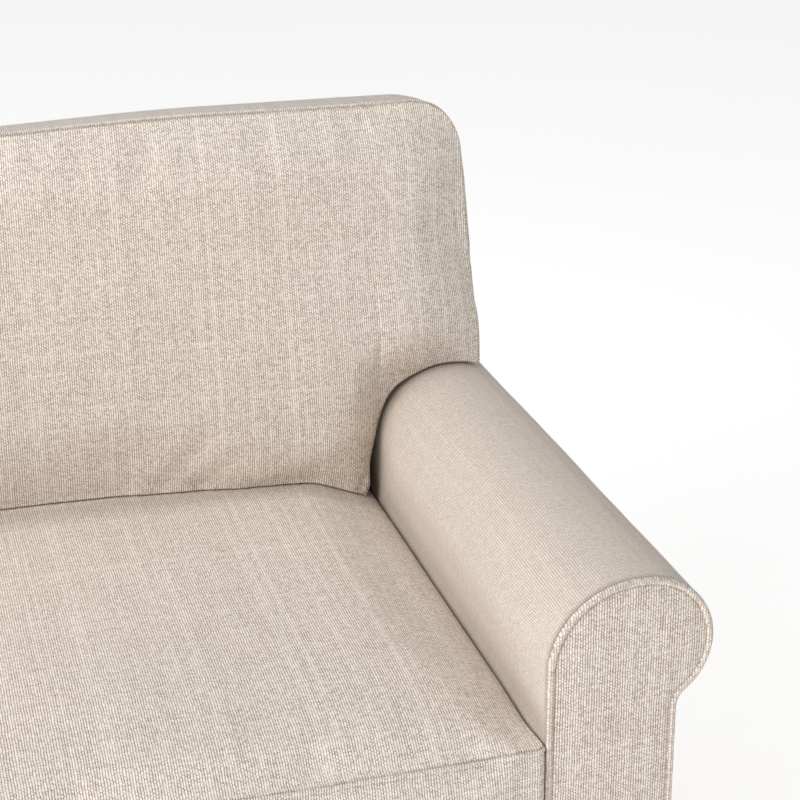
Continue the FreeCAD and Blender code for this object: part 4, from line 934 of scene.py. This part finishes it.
def back_shape(seed, seat_top):
    """The right back cushion as a bmesh, with its weave laid and its seams pressed in."""
    left, wall = SEAT_LOW.x, BACK_WALL
    rows = [0.0] + list(SEAM_LINES) + [LAST_LOW_ROW] + grid_lines(NOTCH_V, BACK_HIGH)
    bm = boxed(grid_lines(left, wall) + grid_lines(wall, EAR_END)[1:], rows,
               grid_lines(REAR_SEAM, FRONT_SEAM),
               lambda middle: middle.x > wall and middle.y < NOTCH_V)
    rest = places_of(bm)
    share = (rest[:, 2] - REAR_SEAM) / (FRONT_SEAM - REAR_SEAM)
    belly = np.sin(np.pi * share)
    plan = rest[:, :2]
    wide = TOP_CORNER + TOP_CORNER_MORE * belly
    small = FOOT_CORNER + FOOT_CORNER_MORE * belly
    for corner, inward, radius in (((left, 0.0), (1, 1), small), ((wall, 0.0), (-1, 1), small),
                                   ((EAR_END, NOTCH_V), (-1, 1), small),
                                   ((EAR_END, BACK_HIGH), (-1, -1), wide),
                                   ((left, BACK_HIGH), (1, -1), wide)):
        plan = rounded(plan, corner, inward, radius)
    rightward = eased((plan[:, 0] - BULGE_START) / BULGE_LENGTH)
    downward = 1 - (1 - BULGE_KEPT) * eased((plan[:, 1] - BULGE_LOW) / BULGE_FADE)
    forward = BULGE * share * rightward * downward
    front = eased((rest[:, 2] - LIFT_START) / LIFT_LENGTH)
    corner_lift = EAR_LIFT * hump(plan[:, 0], EAR_LIFT_X, EAR_LIFT_HALF)
    floor = ear_floor(plan[:, 0], rest[:, 2] + forward) + (EAR_OVER + corner_lift) * front
    near_wall = eased(1 - (wall - plan[:, 0]) / WALL_REACH)
    below_ear = np.clip(1 - rest[:, 1] / DRAW_TOP, 0, 1)
    plan[:, 0] -= np.where(rest[:, 0] < wall + NEAR, WALL_DRAW * front * near_wall * below_ear, 0)
    above = (plan[:, 1] - NOTCH_V) / (BACK_HIGH - NOTCH_V)
    lifted = plan[:, 1] + (floor - NOTCH_V) * (1 - np.clip(above, 0, 1)) ** 3
    in_ear = rest[:, 0] > wall + NEAR
    plan[:, 1] = np.where(in_ear, lifted, plan[:, 1])
    drawn = BACK_DRAW * np.abs(2 * share - 1) ** DRAW_POWER
    offset = 2 * plan / np.array((EAR_END, BACK_HIGH)) - 1
    side = SIDE_SWELL * (1 - ((plan[:, 1] - SIDE_MIDDLE) / SIDE_HALF) ** 2) - drawn
    top = TOP_RISE * eased((plan[:, 0] - RISE_START) / RISE_LENGTH) - drawn
    plan[:, 0] += side * np.clip(offset[:, 0], 0, 1) ** 3
    plan[:, 1] += top * np.clip(offset[:, 1], 0, 1) ** 3
    on_front, on_rear = np.isclose(share, 1), np.isclose(share, 0)
    lay_back_threads(bm, rest, plan)
    distance = seam_distance(bm, plan, on_front)
    at_notch = (rest[:, 0] > wall - NEAR) & (rest[:, 1] < NOTCH_V + NEAR)
    notch = seam_distance(bm, plan, on_front, at_notch)
    ends = [(plan[:, 0] - left, BACK_REACH), (plan[:, 1], BACK_REACH * FOOT_REACH_SHARE),
            (EAR_END + SIDE_SWELL - plan[:, 0], BACK_REACH),
            (notch, BACK_REACH * NOTCH_REACH_SHARE),
            (BACK_HIGH + TOP_RISE - plan[:, 1], BACK_REACH)]
    rise = np.where(on_front, crowned(BACK_CROWN, *ends), 0)
    rear_ends = [(gap, REAR_REACH) for gap, _ in ends]
    rise -= np.where(on_rear, crowned(REAR_CROWN, *rear_ends), 0)
    put(bm, np.column_stack((plan, rest[:, 2] + forward + rise)))
    def hold(place):
        return 1 - np.clip((place[:, 2] - FRONT_SEAM) / BACK_HOLD, 0, 1)
    put(bm, places_of(bm) + aired(bm, hold, BACK_SWELL))
    hand_filled(bm, np.where(on_front, np.minimum(1, distance / BACK_LUMPS_FROM), 0), seed)
    behind = np.minimum(rest[:, 2] - REAR_SEAM, FRONT_SEAM - rest[:, 2])
    seam_relief(bm, np.where(on_front | on_rear, -distance, behind))
    put(bm, stood(places_of(bm)))
    sagged(bm, rest, seat_top)
    return bm


def lay_back_threads(bm, rest, plan):
    """Lay the weave: ribs upright on front and rear, and through the boxing on its way round."""
    corners = [Vector(corner) for corner in (
        (SEAT_LOW.x, 0), (BACK_WALL, 0), (BACK_WALL, NOTCH_V), (EAR_END, NOTCH_V),
        (EAR_END, BACK_HIGH), (SEAT_LOW.x, BACK_HIGH), (SEAT_LOW.x, 0))]
    starts = np.cumsum([0] + [(end - start).length for start, end in zip(corners, corners[1:])])

    def stretch_of(face):
        """The straight stretch of the unshaped edge that a face of the boxing lies on."""
        middle = face.calc_center_median().xy
        return min(range(6), key=lambda number: (
            (corners[number] - middle).length + (corners[number + 1] - middle).length
            - (corners[number + 1] - corners[number]).length))

    boxing = {face: stretch_of(face) for face in bm.faces if abs(face.normal.z) < 0.5}
    ring = {}
    for face, number in boxing.items():
        for vert in face.verts:
            gone = starts[number] + (vert.co.xy - corners[number]).length
            if vert.co.z < REAR_SEAM + NEAR:
                ring[round(gone, 6)] = plan[vert.index]
    gone_by = sorted(ring)
    steps = np.diff([ring[gone] for gone in gone_by], axis=0)
    length_by = np.concatenate(([0], np.cumsum(np.linalg.norm(steps, axis=1))))
    layer = bm.loops.layers.uv.verify()
    for face in bm.faces:
        for loop in face.loops:
            place = loop.vert.co
            if face in boxing:
                number = boxing[face]
                gone = starts[number] + (place.xy - corners[number]).length
                loop[layer].uv = (np.interp(gone, gone_by, length_by), place.z)
            else:
                loop[layer].uv = plan[loop.vert.index]


for side, way_out in SIDES:
    bm = back_shape(BACK_SEED + way_out, seat_tops[side])
    cushion_piece("back", side, bm, way_out)

# Zips: a nylon coil chain on woven tape, let into the rear border of each seat cushion and the
# foot of each back cushion, with a die-cast slider and pull tab.
ZIP_COIL = 0.0016
dress(two_toned("Nylon zip", "TexWave", {"Scale": 1 / ZIP_COIL / WAVE_FIT},
                ("#a99b8a", "#cfc3b3"), (0.0004, 0.6), Roughness=0.6),
      "seat_cushion_zip", "back_cushion_zip")
dress(plated_steel("Nickel-plated slider", "#a8a49c", 0.3),
      "seat_zip_slider", "back_zip_slider")

# Dust cloth: one piece of black spun-bonded fabric, its edges turned under and stapled to the
# underside of the frame. It hangs by about a millimetre in its middle.
DUST_LOW, DUST_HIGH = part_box("dust_cover")
DUST_CUT, DUST_CELLS = (1.446, 0.775), (36, 20, 1)
DUST_SAG, DUST_SAG_MIDDLE, DUST_WAVE_SIZE = 0.0006, 1.5, 0.09
DUST_FIBRE = 0.002

# Spun-bonded fabric: black, felted from fibres that lie every way, and quite matt.
spun_bonded = two_toned("Spun-bonded dust cloth", "TexVoronoi", {"Scale": 1 / DUST_FIBRE},
                        ("#1c1c1d", "#34343a"), (0.0002, 0.4), Roughness=0.95,
                        Specular_IOR_Level=0.1)
bm = merged_copy("dust_cover")
sliced(bm, DUST_LOW, DUST_HIGH, DUST_CELLS)
bm.normal_update()
for vert in bm.verts:
    share = [(vert.co[axis] - DUST_LOW[axis]) / (DUST_HIGH[axis] - DUST_LOW[axis])
             for axis in (0, 1)]
    hang = math.sin(math.pi * share[0]) * math.sin(math.pi * share[1])
    wave = noise.noise(vert.co / DUST_WAVE_SIZE)
    vert.co.z -= DUST_SAG * hang * (DUST_SAG_MIDDLE + wave)
dust = piece("dust_cloth", bm, spun_bonded, "frame", sharp=40)
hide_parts("dust_cover")

# Studio: a pale floor, an even surround, one large soft light from the upper left and one
# weak one above, and the camera at the photograph's place.
FLOOR_HALF, FLOOR_GAP, FLOOR_CLOUD = 40.0, 0.0003, 2.0
CAMERA_PLACE = (0.018, -2.003, 1.470)
CAMERA_YAW, CAMERA_PITCH, CAMERA_ROLL = 15.70, 21.02, -0.23
LENS_MM, SENSOR_MM = 90.07, 36.0
LIGHTS = (("Key", (-2.3, -1.4, 2.3), (0.1, 0.0, 0.45), 2.0, 78),
          ("Top", (-0.2, 0.5, 3.4), (0.1, 0.1, 0.4), 2.4, 12))
SURROUND = 0.44
FLOOR_GLOW = 0.46

bm = bmesh.new()
bmesh.ops.create_grid(bm, x_segments=8, y_segments=8, size=FLOOR_HALF,
                      matrix=Matrix.Translation((0, 0, -FLOOR_GAP)))
mesh = bpy.data.meshes.new("studio_floor")
bm.to_mesh(mesh)
bm.free()
floor = placed("studio_floor", mesh)
mesh.materials.append(two_toned(
    "White studio floor", "TexNoise", {"Scale": 1 / FLOOR_CLOUD}, ("#fbfbfa", "#ffffff"),
    Roughness=0.9, Specular_IOR_Level=0.1, Emission_Color=(1, 1, 1, 1),
    Emission_Strength=FLOOR_GLOW))

world = bpy.data.worlds.new("White surround")
world.use_nodes = True
background = world.node_tree.nodes["Background"]
background.inputs["Color"].default_value = (1, 1, 1, 1)
background.inputs["Strength"].default_value = SURROUND
scene.world = world

for name, place, aim, size, power in LIGHTS:
    light = bpy.data.lights.new(name, "AREA")
    light.shape, light.size, light.energy = "SQUARE", size, power
    lamp = placed(name, light)
    lamp.location = place
    lamp.rotation_euler = (Vector(aim) - Vector(place)).to_track_quat("-Z", "Y").to_euler()

view = bpy.data.cameras.new("Photograph view")
view.lens, view.sensor_width = LENS_MM, SENSOR_MM
camera = placed("Photograph view", view)
camera.matrix_world = (Matrix.Translation(CAMERA_PLACE)
                       @ Matrix.Rotation(math.radians(-CAMERA_YAW), 4, "Z")
                       @ Matrix.Rotation(math.radians(90 - CAMERA_PITCH), 4, "X")
                       @ Matrix.Rotation(math.radians(CAMERA_ROLL), 4, "Z"))
scene.camera = camera
